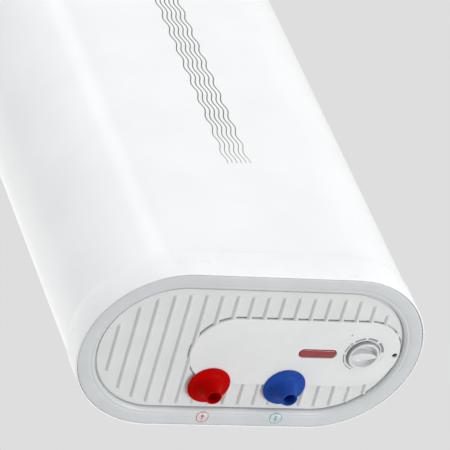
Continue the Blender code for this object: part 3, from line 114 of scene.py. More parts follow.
class NodeTree:
    """A node tree with one short call to add and link nodes."""

    def __init__(self, owner: bpy.types.Material | bpy.types.World) -> None:
        """Empties the owner's node tree.

        Args:
            owner: The material or world that the tree belongs to.
        """
        owner.use_nodes = True
        self.tree = owner.node_tree
        self.tree.nodes.clear()

    def add(self, kind: str, inputs: dict | None = None, **settings: object) -> bpy.types.Node:
        """Adds a node.

        Args:
            kind: The node's type name.
            inputs: Socket names or numbers with a value, or with a socket to link from.
            **settings: Node properties to set first.

        Returns:
            The new node.
        """
        node = self.tree.nodes.new(kind)
        for key, value in settings.items():
            setattr(node, key, value)
        for key, value in (inputs or {}).items():
            if isinstance(value, bpy.types.NodeSocket):
                self.tree.links.new(value, node.inputs[key])
            else:
                node.inputs[key].default_value = value
        return node


class ShaderTree(NodeTree):
    """A material's node tree, with patterns whose scales are real sizes."""

    LOW = 0.3
    HIGH = 0.7

    def __init__(self, name: str) -> None:
        """Starts an empty material.

        Args:
            name: The material's name.
        """
        self.material = bpy.data.materials.new(name)
        super().__init__(self.material)
        self.output = self.add("ShaderNodeOutputMaterial")

    def coordinates(self, stretch: Sequence[float] = (1, 1, 1)) -> bpy.types.NodeSocket:
        """Object coordinates, stretched.

        Args:
            stretch: Factors along X, Y and Z.

        Returns:
            A vector socket.
        """
        source = self.add("ShaderNodeTexCoord").outputs["Object"]
        mapping = self.add("ShaderNodeMapping", {"Vector": source, "Scale": tuple(stretch)})
        return mapping.outputs["Vector"]

    def noise(self, size: float, detail: float = 3.0,
              stretch: Sequence[float] = (1, 1, 1)) -> bpy.types.NodeSocket:
        """Noise whose blobs have a real size.

        Args:
            size: Blob size in metres.
            detail: Octaves.
            stretch: Factors along X, Y and Z.

        Returns:
            A value socket from 0 to 1.
        """
        inputs = {"Vector": self.coordinates(stretch), "Scale": 1 / size, "Detail": detail, "Roughness": 0.55}
        return self.add("ShaderNodeTexNoise", inputs).outputs["Fac"]

    def span(self, value: bpy.types.NodeSocket, low: float, high: float) -> bpy.types.NodeSocket:
        """Maps a noise value to a range.

        Args:
            value: The value to map.
            low: Result at a value of LOW.
            high: Result at a value of HIGH.

        Returns:
            A value socket.
        """
        inputs = {"Value": value, "From Min": self.LOW, "From Max": self.HIGH, "To Min": low, "To Max": high}
        return self.add("ShaderNodeMapRange", inputs).outputs["Result"]

    def blend(self, value: bpy.types.NodeSocket, dark: str, light: str) -> bpy.types.NodeSocket:
        """Blends two colours by a noise value.

        Args:
            value: The value to blend by.
            dark: Hex colour at a value of LOW.
            light: Hex colour at a value of HIGH.

        Returns:
            A colour socket.
        """
        ramp = self.add("ShaderNodeValToRGB", {"Fac": value})
        for stop, place, colour in zip(ramp.color_ramp.elements, (self.LOW, self.HIGH), (dark, light)):
            stop.position = place
            stop.color = linear(colour)
        return ramp.outputs["Color"]

    def bump(self, height: bpy.types.NodeSocket, depth: float, strength: float) -> bpy.types.NodeSocket:
        """Raises a surface by a height value.

        Args:
            height: The height value, 0 to 1.
            depth: Real height in metres.
            strength: How much of it shows.

        Returns:
            A normal socket.
        """
        inputs = {"Height": height, "Distance": depth, "Strength": strength}
        return self.add("ShaderNodeBump", inputs).outputs["Normal"]

    def principled(self, inputs: dict) -> bpy.types.Material:
        """Closes the material with a Principled shader.

        Args:
            inputs: Socket names with values or sockets.

        Returns:
            The material.
        """
        shader = self.add("ShaderNodeBsdfPrincipled", inputs)
        self.tree.links.new(shader.outputs["BSDF"], self.output.inputs["Surface"])
        return self.material


@dataclass(frozen=True)
class Enamel:
    """Sprayed and baked enamel: slight orange peel under a gloss skin."""

    name: str
    dark: str
    light: str
    roughness: Point = (0.20, 0.26)

    def material(self) -> bpy.types.Material:
        """Returns the material."""
        tree = ShaderTree(self.name)
        clouds = tree.noise(90 * MM, 2)
        peel = tree.noise(7 * MM, 1)
        return tree.principled({
            "Base Color": tree.blend(clouds, self.dark, self.light),
            "Roughness": tree.span(tree.noise(14 * MM), *self.roughness),
            "IOR": 1.52,
            "Normal": tree.bump(peel, 0.012 * MM, 0.25),
        })


@dataclass(frozen=True)
class MouldedPlastic:
    """Injection-moulded plastic: fine eroded grain, slight flow clouds."""

    name: str
    dark: str
    light: str
    roughness: Point = (0.36, 0.46)
    grain: float = 0.5
    grain_depth: float = 0.02
    specular: float = 0.5

    def material(self) -> bpy.types.Material:
        """Returns the material."""
        tree = ShaderTree(self.name)
        flow = tree.noise(38 * MM, 3)
        grain = tree.noise(self.grain * MM, 2)
        return tree.principled({
            "Base Color": tree.blend(flow, self.dark, self.light),
            "Roughness": tree.span(tree.noise(6 * MM), *self.roughness),
            "IOR": 1.49,
            "Specular IOR Level": self.specular,
            "Normal": tree.bump(grain, self.grain_depth * MM, 0.5),
        })


@dataclass(frozen=True)
class ClearPlastic:
    """Tinted clear plastic with a polished face and slight clouds inside."""

    name: str
    dark: str
    light: str

    def material(self) -> bpy.types.Material:
        """Returns the material."""
        tree = ShaderTree(self.name)
        return tree.principled({
            "Base Color": tree.blend(tree.noise(22 * MM, 1), self.dark, self.light),
            "Roughness": tree.span(tree.noise(4 * MM), 0.06, 0.12),
            "IOR": 1.49,
            "Transmission Weight": 0.25,
            "Coat Weight": 0.6,
            "Coat Roughness": 0.04,
        })


@dataclass(frozen=True)
class Metal:
    """Bare or plated metal: drawn grain along one axis over soft spangle."""

    name: str
    dark: str
    light: str
    roughness: Point = (0.28, 0.42)
    stretch: tuple[float, float, float] = (1.0, 1.0, 0.12)
    spangle: float = 9.0

    def material(self) -> bpy.types.Material:
        """Returns the material."""
        tree = ShaderTree(self.name)
        inputs = {"Vector": tree.coordinates(), "Scale": 1 / (self.spangle * MM)}
        spangle = tree.add("ShaderNodeTexVoronoi", inputs, distance="MANHATTAN").outputs["Distance"]
        drawn = tree.noise(0.6 * MM, 4, self.stretch)
        return tree.principled({
            "Base Color": tree.blend(spangle, self.dark, self.light),
            "Metallic": 1.0,
            "Roughness": tree.span(drawn, *self.roughness),
            "Normal": tree.bump(drawn, 0.01 * MM, 0.4),
        })


@dataclass(frozen=True)
class Rubber:
    """Matt black rubber with a dusty bloom."""

    name: str
    dark: str = "#141414"
    light: str = "#232323"

    def material(self) -> bpy.types.Material:
        """Returns the material."""
        tree = ShaderTree(self.name)
        return tree.principled({
            "Base Color": tree.blend(tree.noise(3 * MM), self.dark, self.light),
            "Roughness": tree.span(tree.noise(1.5 * MM), 0.6, 0.78),
            "IOR": 1.52,
            "Normal": tree.bump(tree.noise(0.35 * MM, 2), 0.03 * MM, 0.6),
        })


@dataclass(frozen=True)
class Foam:
    """Rigid blown foam with a cut, cellular face."""

    name: str
    dark: str = "#D2B679"
    light: str = "#EBD59E"

    def material(self) -> bpy.types.Material:
        """Returns the material."""
        tree = ShaderTree(self.name)
        inputs = {"Vector": tree.coordinates(), "Scale": 1 / (1.6 * MM)}
        cells = tree.add("ShaderNodeTexVoronoi", inputs, feature="SMOOTH_F1").outputs["Distance"]
        return tree.principled({
            "Base Color": tree.blend(tree.noise(16 * MM), self.dark, self.light),
            "Roughness": 0.9,
            "IOR": 1.5,
            "Normal": tree.bump(cells, 0.4 * MM, 0.8),
        })


@dataclass(frozen=True)
class Ink:
    """Screen-printed ink, with slightly uneven cover."""

    name: str
    dark: str
    light: str

    def material(self) -> bpy.types.Material:
        """Returns the material."""
        tree = ShaderTree(self.name)
        return tree.principled({
            "Base Color": tree.blend(tree.noise(0.8 * MM, 4), self.dark, self.light),
            "Roughness": tree.span(tree.noise(2 * MM), 0.42, 0.55),
            "IOR": 1.5,
        })


class Finish(Enum):
    """Every finish on the heater. Colours are the photograph's, or the usual ones inside."""

    WHITE_ENAMEL = Enamel("white_enamel", "#F2F3F4", "#F6F7F8")
    WHITE_PLASTIC = MouldedPlastic("white_plastic", "#F1F2F3", "#F6F7F8", (0.27, 0.32), 3.0, 0.01)
    GREY_PLASTIC = MouldedPlastic("grey_plastic", "#CBCED0", "#D2D5D7", (0.30, 0.38), 0.5, 0.012)
    PANEL_PLASTIC = MouldedPlastic("panel_plastic", "#D8D9D9", "#DEDFDF", (0.40, 0.50), 0.45, 0.025)
    COVER_PLASTIC = MouldedPlastic("cover_plastic", "#DFE0E0", "#E4E5E5", (0.38, 0.48), 0.45, 0.02)
    KNOB_PLASTIC = MouldedPlastic("knob_plastic", "#D6D8D9", "#DEE0E1", (0.26, 0.34), 0.4, 0.01)
    # Darker grey for the band round the knob: painted shade on the knob's side wall
    KNOB_SIDE_SHADE = MouldedPlastic("knob_side_painted_shade", "#9EA1A3", "#A8ABAD", (0.34, 0.42), 0.4, 0.015)
    # Dark grey lining for the screw's well: painted shade inside the hole
    WELL_SHADE = MouldedPlastic("well_painted_shade", "#56585A", "#606264", (0.4, 0.5), 0.5, 0.02)
    RED_LENS = ClearPlastic("red_lens", "#9E3030", "#AA3A3A")
    RED_PLASTIC = MouldedPlastic("red_plastic", "#AE0000", "#BC0000", (0.36, 0.46), 0.5, 0.02, specular=0.03)
    BLUE_PLASTIC = MouldedPlastic("blue_plastic", "#193F92", "#1F4AA2", (0.34, 0.46), 0.5, 0.02, specular=0.08)
    BLACK_PLASTIC = MouldedPlastic("black_plastic", "#17181A", "#222326", (0.42, 0.55), 0.5, 0.03)
    CREAM_PLASTIC = MouldedPlastic("cream_plastic", "#DCD5C0", "#E8E2CF", (0.45, 0.6), 0.6, 0.02)
    STEEL = Metal("steel", "#A9AAA8", "#BDBEBC")
    DARK_STEEL = Metal("dark_steel", "#66686A", "#747678", (0.45, 0.6), (1.0, 1.0, 0.4), 3.0)
    ZINC = Metal("zinc", "#B4B8BC", "#C8CCCF", (0.30, 0.44), (0.12, 1.0, 1.0), 7.0)
    COPPER = Metal("copper", "#B9704E", "#CC8562", (0.24, 0.36))
    MAGNESIUM = Metal("magnesium", "#9C9D99", "#B3B4B0", (0.5, 0.66), (1.0, 1.0, 0.2), 4.0)
    RUBBER = Rubber("rubber")
    FOAM = Foam("foam")
    BROWN_WIRE = MouldedPlastic("brown_wire", "#4A2A1A", "#5A3624", (0.35, 0.45))
    BLUE_WIRE = MouldedPlastic("blue_wire", "#22519E", "#2E62B2", (0.35, 0.45))
    GREEN_WIRE = MouldedPlastic("green_wire", "#4C8F2C", "#A9A62C", (0.35, 0.45))
    GREY_INK = Ink("grey_ink", "#84878A", "#929598")
    WAVE_INK = Ink("wave_ink", "#323538", "#3D4043")
    RED_INK = Ink("red_ink", "#C8504C", "#D46460")
    CYAN_INK = Ink("cyan_ink", "#4FA9B8", "#66B9C6")
    LABEL = Ink("label_film", "#DDDFE0", "#E4E6E7")

    def material(self) -> bpy.types.Material:
        """Returns the finish's material, built on first use."""
        found = bpy.data.materials.get("finish_" + self.value.name)
        if found is None:
            found = self.value.material()
            found.name = "finish_" + self.value.name
        return found


def smooth_line(points: Sequence[Point], per_leg: int = 4) -> list[Point]:
    """Rounds a profile through its points.

    Args:
        points: Profile points.
        per_leg: New points for each leg.

    Returns:
        The finer profile, with both ends.
    """
    padded = [points[0], *points, points[-1]]
    line: list[Point] = []
    for index in range(1, len(padded) - 2):
        p0, p1, p2, p3 = (Vector(padded[index + shift]) for shift in (-1, 0, 1, 2))
        for step in range(per_leg):
            t = step / per_leg
            spot = 0.5 * (2 * p1 + (p2 - p0) * t + (2 * p0 - 5 * p1 + 4 * p2 - p3) * t * t
                          + (3 * p1 - p0 - 3 * p2 + p3) * t ** 3)
            line.append((spot.x, spot.y))
    line.append(tuple(points[-1]))
    return line


def arc_line(centre: Point, radius: float, start: float, stop: float, steps: int = 8) -> list[Point]:
    """Points on an arc.

    Args:
        centre: The arc's centre.
        radius: Its radius.
        start: First angle in degrees.
        stop: Last angle in degrees.
        steps: Number of legs.

    Returns:
        The arc's points, with both ends.
    """
    angles = [math.radians(start + (stop - start) * step / steps) for step in range(steps + 1)]
    return [(centre[0] + radius * math.cos(a), centre[1] + radius * math.sin(a)) for a in angles]


def new_verts(made: Iterable[bmesh.types.BMElem]) -> list[bmesh.types.BMVert]:
    """Returns the vertices among an operator's new elements."""
    return [item for item in made if isinstance(item, bmesh.types.BMVert)]


def new_edges(made: Iterable[bmesh.types.BMElem]) -> list[bmesh.types.BMEdge]:
    """Picks the edges that join two of an operator's new vertices.

    Args:
        made: The operator's new elements.

    Returns:
        The edges.
    """
    fresh = new_verts(made)
    return [item for item in made if isinstance(item, bmesh.types.BMEdge)
            and item.verts[0] in fresh and item.verts[1] in fresh]


def added(items: Iterable[bmesh.types.BMElem], before: set[bmesh.types.BMElem]) -> list[bmesh.types.BMElem]:
    """Returns the items of a drawing that weren't there before."""
    return [item for item in items if item not in before]


def rotate(bm: bmesh.types.BMesh, verts: Iterable[bmesh.types.BMVert], angle: float, axis: str) -> None:
    """Turns vertices about an axis through the body frame's origin.

    Args:
        bm: The drawing.
        verts: The vertices to turn.
        angle: How far, in radians.
        axis: X, Y or Z.
    """
    bmesh.ops.rotate(bm, verts=verts, cent=(0, 0, 0), matrix=Matrix.Rotation(angle, 3, axis))


def new_mesh(name: str, bm: bmesh.types.BMesh) -> bpy.types.Mesh:
    """Turns a drawing into a mesh and frees the drawing.

    Args:
        name: The mesh's name.
        bm: The drawing.

    Returns:
        The mesh.
    """
    mesh = bpy.data.meshes.new(name)
    bm.to_mesh(mesh)
    bm.free()
    return mesh


def smooth(mesh: bpy.types.Mesh, sharp: float = SHARP_EDGE) -> None:
    """Shades a mesh smooth, apart from its sharp edges.

    Args:
        mesh: The mesh.
        sharp: Angle in degrees over which an edge stays sharp.
    """
    mesh.shade_smooth()
    mesh.set_sharp_from_angle(angle=math.radians(sharp))


def stand(name: str, data: bpy.types.ID) -> bpy.types.Object:
    """Stands a new object in the scene.

    Args:
        name: The object's name.
        data: Its mesh, light or camera.

    Returns:
        The object.
    """
    obj = bpy.data.objects.new(name, data)
    bpy.context.scene.collection.objects.link(obj)
    return obj


class Piece:
    """A mesh under construction in the body frame, in millimetres, that becomes one object."""

    def __init__(self, name: str) -> None:
        """Starts an empty mesh.

        Args:
            name: The object's name.
        """
        self.name = name
        self.bm = bmesh.new()

    def finish(self, finish: Finish, body: BodyName, nodes: Iterable[str] = (), slot: str = "",
               sharp: float = SHARP_EDGE, wall: bool = False) -> bpy.types.Object:
        """Closes the mesh into an object that rides on a body.

        Args:
            finish: The material.
            body: The body it rides on.
            nodes: Solids that it stands for.
            slot: The record's slot of its finish; not used.
            sharp: Angle in degrees over which an edge stays sharp.
            wall: Whether the faces' directions are left as they are.

        Returns:
            The object.
        """
        bmesh.ops.remove_doubles(self.bm, verts=self.bm.verts, dist=WELD)
        if not wall:
            bmesh.ops.recalc_face_normals(self.bm, faces=self.bm.faces)
        bmesh.ops.transform(self.bm, matrix=TO_ROW_FRAME, verts=self.bm.verts)
        mesh = new_mesh(self.name, self.bm)
        smooth(mesh, sharp)
        mesh.materials.append(finish.material())
        obj = stand(self.name, mesh)
        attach(obj, body.value)
        for node in nodes:
            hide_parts(node)
        LOG.info("%s: %d faces on %s", self.name, len(mesh.polygons), body.value)
        return obj


@dataclass
class StadiumTool:
    """Draws rings and shells with straight sides and round ends."""

    half_width: float
    half_depth: float
    centre: Point = (0.0, 0.0)
    steps: int = 48

    @property
    def straight(self) -> float:
        """Half the straight side's length."""
        return self.half_width - self.half_depth

    def ring(self, bm: bmesh.types.BMesh, inset: float, height: float) -> list[bmesh.types.BMEdge]:
        """Draws the outline as a closed loop of edges.

        Args:
            bm: The mesh to draw in.
            inset: How far in from the outline.
            height: Its height.

        Returns:
            The loop's edges.
        """
        radius = self.half_depth - inset
        before = set(bm.edges)
        start = bm.verts.new((self.straight, -radius, height))
        first = bmesh.ops.spin(bm, geom=[start], cent=(self.straight, 0, height), axis=(0, 0, 1),
                               angle=math.pi, steps=self.steps)
        corner = new_verts(first["geom_last"])[0]
        second = bmesh.ops.extrude_vert_indiv(bm, verts=[corner])["verts"][0]
        second.co.x = -self.straight
        last = bmesh.ops.spin(bm, geom=[second], cent=(-self.straight, 0, height), axis=(0, 0, 1),
                              angle=math.pi, steps=self.steps)
        end = new_verts(last["geom_last"])[0]
        bm.edges.new((end, start))
        return added(bm.edges, before)

    def move(self, verts: Iterable[bmesh.types.BMVert], radius: float, height: float) -> None:
        """Moves ring vertices along the outline's normals.

        Args:
            verts: The ring's vertices.
            radius: New end radius.
            height: New height.
        """
        for vert in verts:
            middle = max(-self.straight, min(self.straight, vert.co.x))
            out = Vector((vert.co.x - middle, vert.co.y)).normalized()
            vert.co = Vector((middle + out.x * radius, out.y * radius, height))

    def sweep(self, bm: bmesh.types.BMesh, profile: Sequence[Point], closed: bool = True) -> None:
        """Carries a profile round the outline.

        Args:
            bm: The mesh to draw in.
            profile: (inset, height) points.
            closed: Whether the last point joins the first; otherwise both ends are filled.
        """
        before = set(bm.verts)
        edges = self.ring(bm, *profile[0])
        first = list(edges)
        for inset, height in profile[1:]:
            grown = bmesh.ops.extrude_edge_only(bm, edges=edges)["geom"]
            edges = new_edges(grown)
            self.move(new_verts(grown), self.half_depth - inset, height)
        if closed:
            bmesh.ops.bridge_loops(bm, edges=edges + first)
        else:
            bmesh.ops.edgeloop_fill(bm, edges=first)
            bmesh.ops.edgeloop_fill(bm, edges=edges)
        bmesh.ops.translate(bm, verts=added(bm.verts, before), vec=(*self.centre, 0))


def turn(bm: bmesh.types.BMesh, profile: Sequence[Point], at: Sequence[float], steps: int = 72,
         closed: bool = False, axis: str = "Z") -> None:
    """Turns a profile into a solid of revolution.

    Args:
        bm: The mesh to draw in.
        profile: (radius, height) points.
        at: Place of the profile's zero point.
        steps: Facets round the axis.
        closed: Whether the last point joins the first.
        axis: Z, or Y for a piece that points to the wall.
    """
    before = set(bm.verts)
    start = bm.verts.new((profile[0][0], 0, profile[0][1]))
    chain: list = [start]
    last = start
    for radius, height in profile[1:]:
        last = bmesh.ops.extrude_vert_indiv(bm, verts=[last])["verts"][0]
        last.co = Vector((radius, 0, height))
        chain.append(last)
    edges = [edge for edge in bm.edges if edge.verts[0] in chain and edge.verts[1] in chain]
    if closed:
        edges.append(bm.edges.new((last, start)))
    bmesh.ops.spin(bm, geom=chain + edges, cent=(0, 0, 0), axis=(0, 0, 1), angle=2 * math.pi, steps=steps,
                   use_merge=True)
    bmesh.ops.remove_doubles(bm, verts=added(bm.verts, before), dist=WELD)
    fresh = added(bm.verts, before)
    if axis == "Y":
        rotate(bm, fresh, -math.pi / 2, "X")
    bmesh.ops.translate(bm, verts=fresh, vec=tuple(at))


def ribbon(bm: bmesh.types.BMesh, path: Sequence[Sequence[float]], widths: Sequence[float],
           normal: Sequence[float], thickness: float, closed: bool = False) -> None:
    """Lays a thin printed line along a path.

    Args:
        bm: The mesh to draw in.
        path: Points of its middle.
        widths: Its width at each point.
        normal: The direction that the print faces.
        thickness: How far it stands on the surface.
        closed: Whether the path is a loop.
    """
    before = set(bm.faces)
    out = Vector(normal).normalized()
    spots = [Vector(p) for p in path]
    pairs = []
    for index, spot in enumerate(spots):
        ahead = spots[(index + 1) % len(spots)] if closed else spots[min(index + 1, len(spots) - 1)]
        behind = spots[index - 1] if closed or index else spots[0]
        across = (ahead - behind).cross(out).normalized() * (widths[index] / 2)
        pairs.append((spot + across, spot - across))
    left, right = bm.verts.new(pairs[0][0]), bm.verts.new(pairs[0][1])
    edge = bm.edges.new((left, right))
    for one, two in pairs[1:] + (pairs[:1] if closed else []):
        grown = bmesh.ops.extrude_edge_only(bm, edges=[edge])["geom"]
        left, right = sorted(new_verts(grown), key=lambda vert: (vert.co - left.co).length)
        left.co, right.co = one, two
        edge = new_edges(grown)[0]
    faces = added(bm.faces, before)
    for face in faces:
        face.normal_update()
        if face.normal.dot(out) < 0:
            face.normal_flip()
    grown = bmesh.ops.extrude_face_region(bm, geom=faces)["geom"]
    bmesh.ops.translate(bm, verts=new_verts(grown), vec=out * thickness)


def cut_with(target: bpy.types.Object, draw: Callable[[bmesh.types.BMesh], None]) -> None:
    """Cuts a drawn shape out of a finished piece.

    Args:
        target: The piece to cut.
        draw: Draws the cutter in the body frame, in millimetres.
    """
    bm = bmesh.new()
    draw(bm)
    bmesh.ops.remove_doubles(bm, verts=bm.verts, dist=WELD)
    bmesh.ops.recalc_face_normals(bm, faces=bm.faces)
    bmesh.ops.transform(bm, matrix=TO_ROW_FRAME, verts=bm.verts)
    cutter = stand("cutter", new_mesh("cutter", bm))
    modifier = target.modifiers.new("cut", "BOOLEAN")
    modifier.object = cutter
    modifier.operation = "DIFFERENCE"
    modifier.solver = "EXACT"
    graph = bpy.context.evaluated_depsgraph_get()
    result = bpy.data.meshes.new_from_object(target.evaluated_get(graph))
    target.modifiers.clear()
    target.data = result
    smooth(result)
    bpy.data.objects.remove(cutter)


def bore(target: bpy.types.Object, at: Place, radius: float, depth: Point, steps: int = 48,
         axis: str = "Z") -> None:
    """Cuts a round hole out of a finished piece.

    Args:
        target: The piece to cut.
        at: A place on the hole's axis.
        radius: The hole's radius.
        depth: Where the hole starts and ends along its axis, from that place.
        steps: Facets round the hole.
        axis: Z, or Y for a hole that points to the wall.
    """
    start, end = depth
    profile = [(0, start), (radius, start), (radius, end), (0, end)]
    cut_with(target, lambda bm: turn(bm, profile, at, steps, axis=axis))


@dataclass
class Shell:
    """The white body: skirt, casing and top cap.

    A tongue's root says how far from the shell's edge the tongue's back ends and the plain wall begins. A cut
    says where a cutter starts, towards the wall, and how far it goes.
    """

    half_width: float = LAYOUT.half_width
    half_depth: float = LAYOUT.half_depth
    height: float = 860.0
    skirt_step: float = 1.3
    skirt_height: float = 45.0
    skirt_wall: float = 2.0
    casing_wall: float = 1.0
    gap: float = 0.3
    cap_height: float = 45.0
    cap_round: float = 25.0
    cap_wall: float = 2.2
    lip: float = 0.8
    tongue: float = 10.0
    tongue_wall: float = 1.8
    skirt_root: Point = (2.0, 4.5)
    cap_root: Point = (2.2, 4.4)
    inlet_hole: float = 8.5
    inlet_cut: Point = (112.0, 12.0)
    bolt_hole: float = 4.4
    bolt_cut: Point = (116.0, 6.0)
    edge: float = 0.3
    cap_edge: float = 0.4

    def outline(self) -> StadiumTool:
        """Returns the drawing tool of the body's outline."""
        return StadiumTool(self.half_width, self.half_depth)

    def skirt(self) -> bpy.types.Object:
        """Builds the bottom ring, with a rounded hem and shoulder.

        Returns:
            The piece.
        """
        piece = Piece("skirt_shell")
        hem = arc_line((self.skirt_wall / 2, self.skirt_wall / 2), self.skirt_wall / 2, 0, -180, 8)
        top = self.skirt_height
        shoulder = arc_line((self.lip, top - self.lip), self.lip, 180, 90, 5)
        inner = self.skirt_step + self.casing_wall + self.gap
        back, tip = inner + self.tongue_wall, top + self.tongue
        ends, begins = self.skirt_root
        profile = hem + shoulder + [(inner, top), (inner, tip), (back, tip), (back, top - ends),
                                    (self.skirt_wall, top - begins)]
        self.outline().sweep(piece.bm, profile)
        skirt = piece.finish(Finish.WHITE_PLASTIC, BodyName.HEATER, ["bottom_skirt"], "white_plastic")
        start, depth = self.inlet_cut
        bore(skirt, (LAYOUT.inlet_x, start, LAYOUT.inlet_level), self.inlet_hole, (0, depth), axis="Y")
        return skirt

    def casing(self) -> bpy.types.Object:
        """Builds the rolled sheet between skirt and cap, with its edges turned in.

        Returns:
            The piece.
        """
        piece = Piece("casing_shell")
        bottom = self.skirt_height + self.gap
        top = self.height - self.cap_height - self.gap
        inner = self.skirt_step + self.casing_wall
        face, edge = self.skirt_step, self.edge
        profile = [(inner, bottom), (face + edge, bottom), (face, bottom + edge),
                   (face, top - edge), (face + edge, top), (inner, top)]
        self.outline().sweep(piece.bm, profile)
        casing = piece.finish(Finish.WHITE_ENAMEL, BodyName.HEATER, ["outer_casing"], "white_enamel")
        start, depth = self.bolt_cut
        for side in (-1, 1):
            at = (side * LAYOUT.hanger_x, start, LAYOUT.hanger_level)
            bore(casing, at, self.bolt_hole, (0, depth), 32, "Y")
        return casing

    def cap(self) -> bpy.types.Object:
        """Builds the top cap, a shell with a rounded crown.

        Returns:
            The piece.
        """
        piece = Piece("cap_shell")
        bottom = self.height - self.cap_height
        crown = (self.cap_round, self.height - self.cap_round)
        outer = arc_line(crown, self.cap_round, 180, 90, 20)
        inner = arc_line(crown, self.cap_round - self.cap_wall, 90, 180, 16)
        front = self.skirt_step + self.casing_wall + self.gap
        back, tip = front + self.tongue_wall, bottom - self.tongue
        ends, begins = self.cap_root
        profile = inner + [(self.cap_wall, bottom + begins), (back, bottom + ends), (back, tip), (front, tip),
                           (front, bottom), (self.cap_edge, bottom), (0, bottom + self.cap_edge)] + outer
        self.outline().sweep(piece.bm, profile, closed=False)
        return piece.finish(Finish.WHITE_PLASTIC, BodyName.HEATER, ["top_cover"], "white_plastic")

    def build(self) -> None:
        """Builds the three pieces of the shell."""
        self.skirt()
        self.casing()
        self.cap()


@dataclass
class WavePrint:
    """Six wavy lines printed on the front."""

    lines: int = 6
    pitch: float = 6.2
    wave_length: float = 34.8
    wave_start: float = 9.4
    swing: float = 2.0
    width: float = 1.35
    drift: float = 0.0095
    bottom: float = 221.5
    rise: float = 0.5
    top: float = 642.0
    start_x: float = 13.3
    surface_y: float = -118.7
    fade: float = 90.0
    ink: float = 0.05
    steps_per_wave: int = 16

    def build(self) -> bpy.types.Object:
        """Draws the lines as thin print, narrower at their lower ends.

        Returns:
            The piece.
        """
        piece = Piece("wave_print")
        for line in range(self.lines):
            shift = (line - (self.lines - 1) / 2) * self.pitch
            low = self.bottom + line * self.rise
            count = int((self.top - low) / self.wave_length * self.steps_per_wave)
            path, widths = [], []
            for step in range(count + 1):
                z = low + (self.top - low) * step / count
                swing = self.swing * math.sin(2 * math.pi * (z - self.wave_start) / self.wave_length)
                path.append((self.start_x + shift + (z - self.bottom) * self.drift + swing, self.surface_y, z))
                grow = min(1.0, (z - low) / self.fade)
                widths.append(self.width * (0.5 + 0.5 * grow))
            ribbon(piece.bm, path, widths, (0, -1, 0), self.ink)
        return piece.finish(Finish.WAVE_INK, BodyName.HEATER, (), "grey_plastic", sharp=20, wall=True)


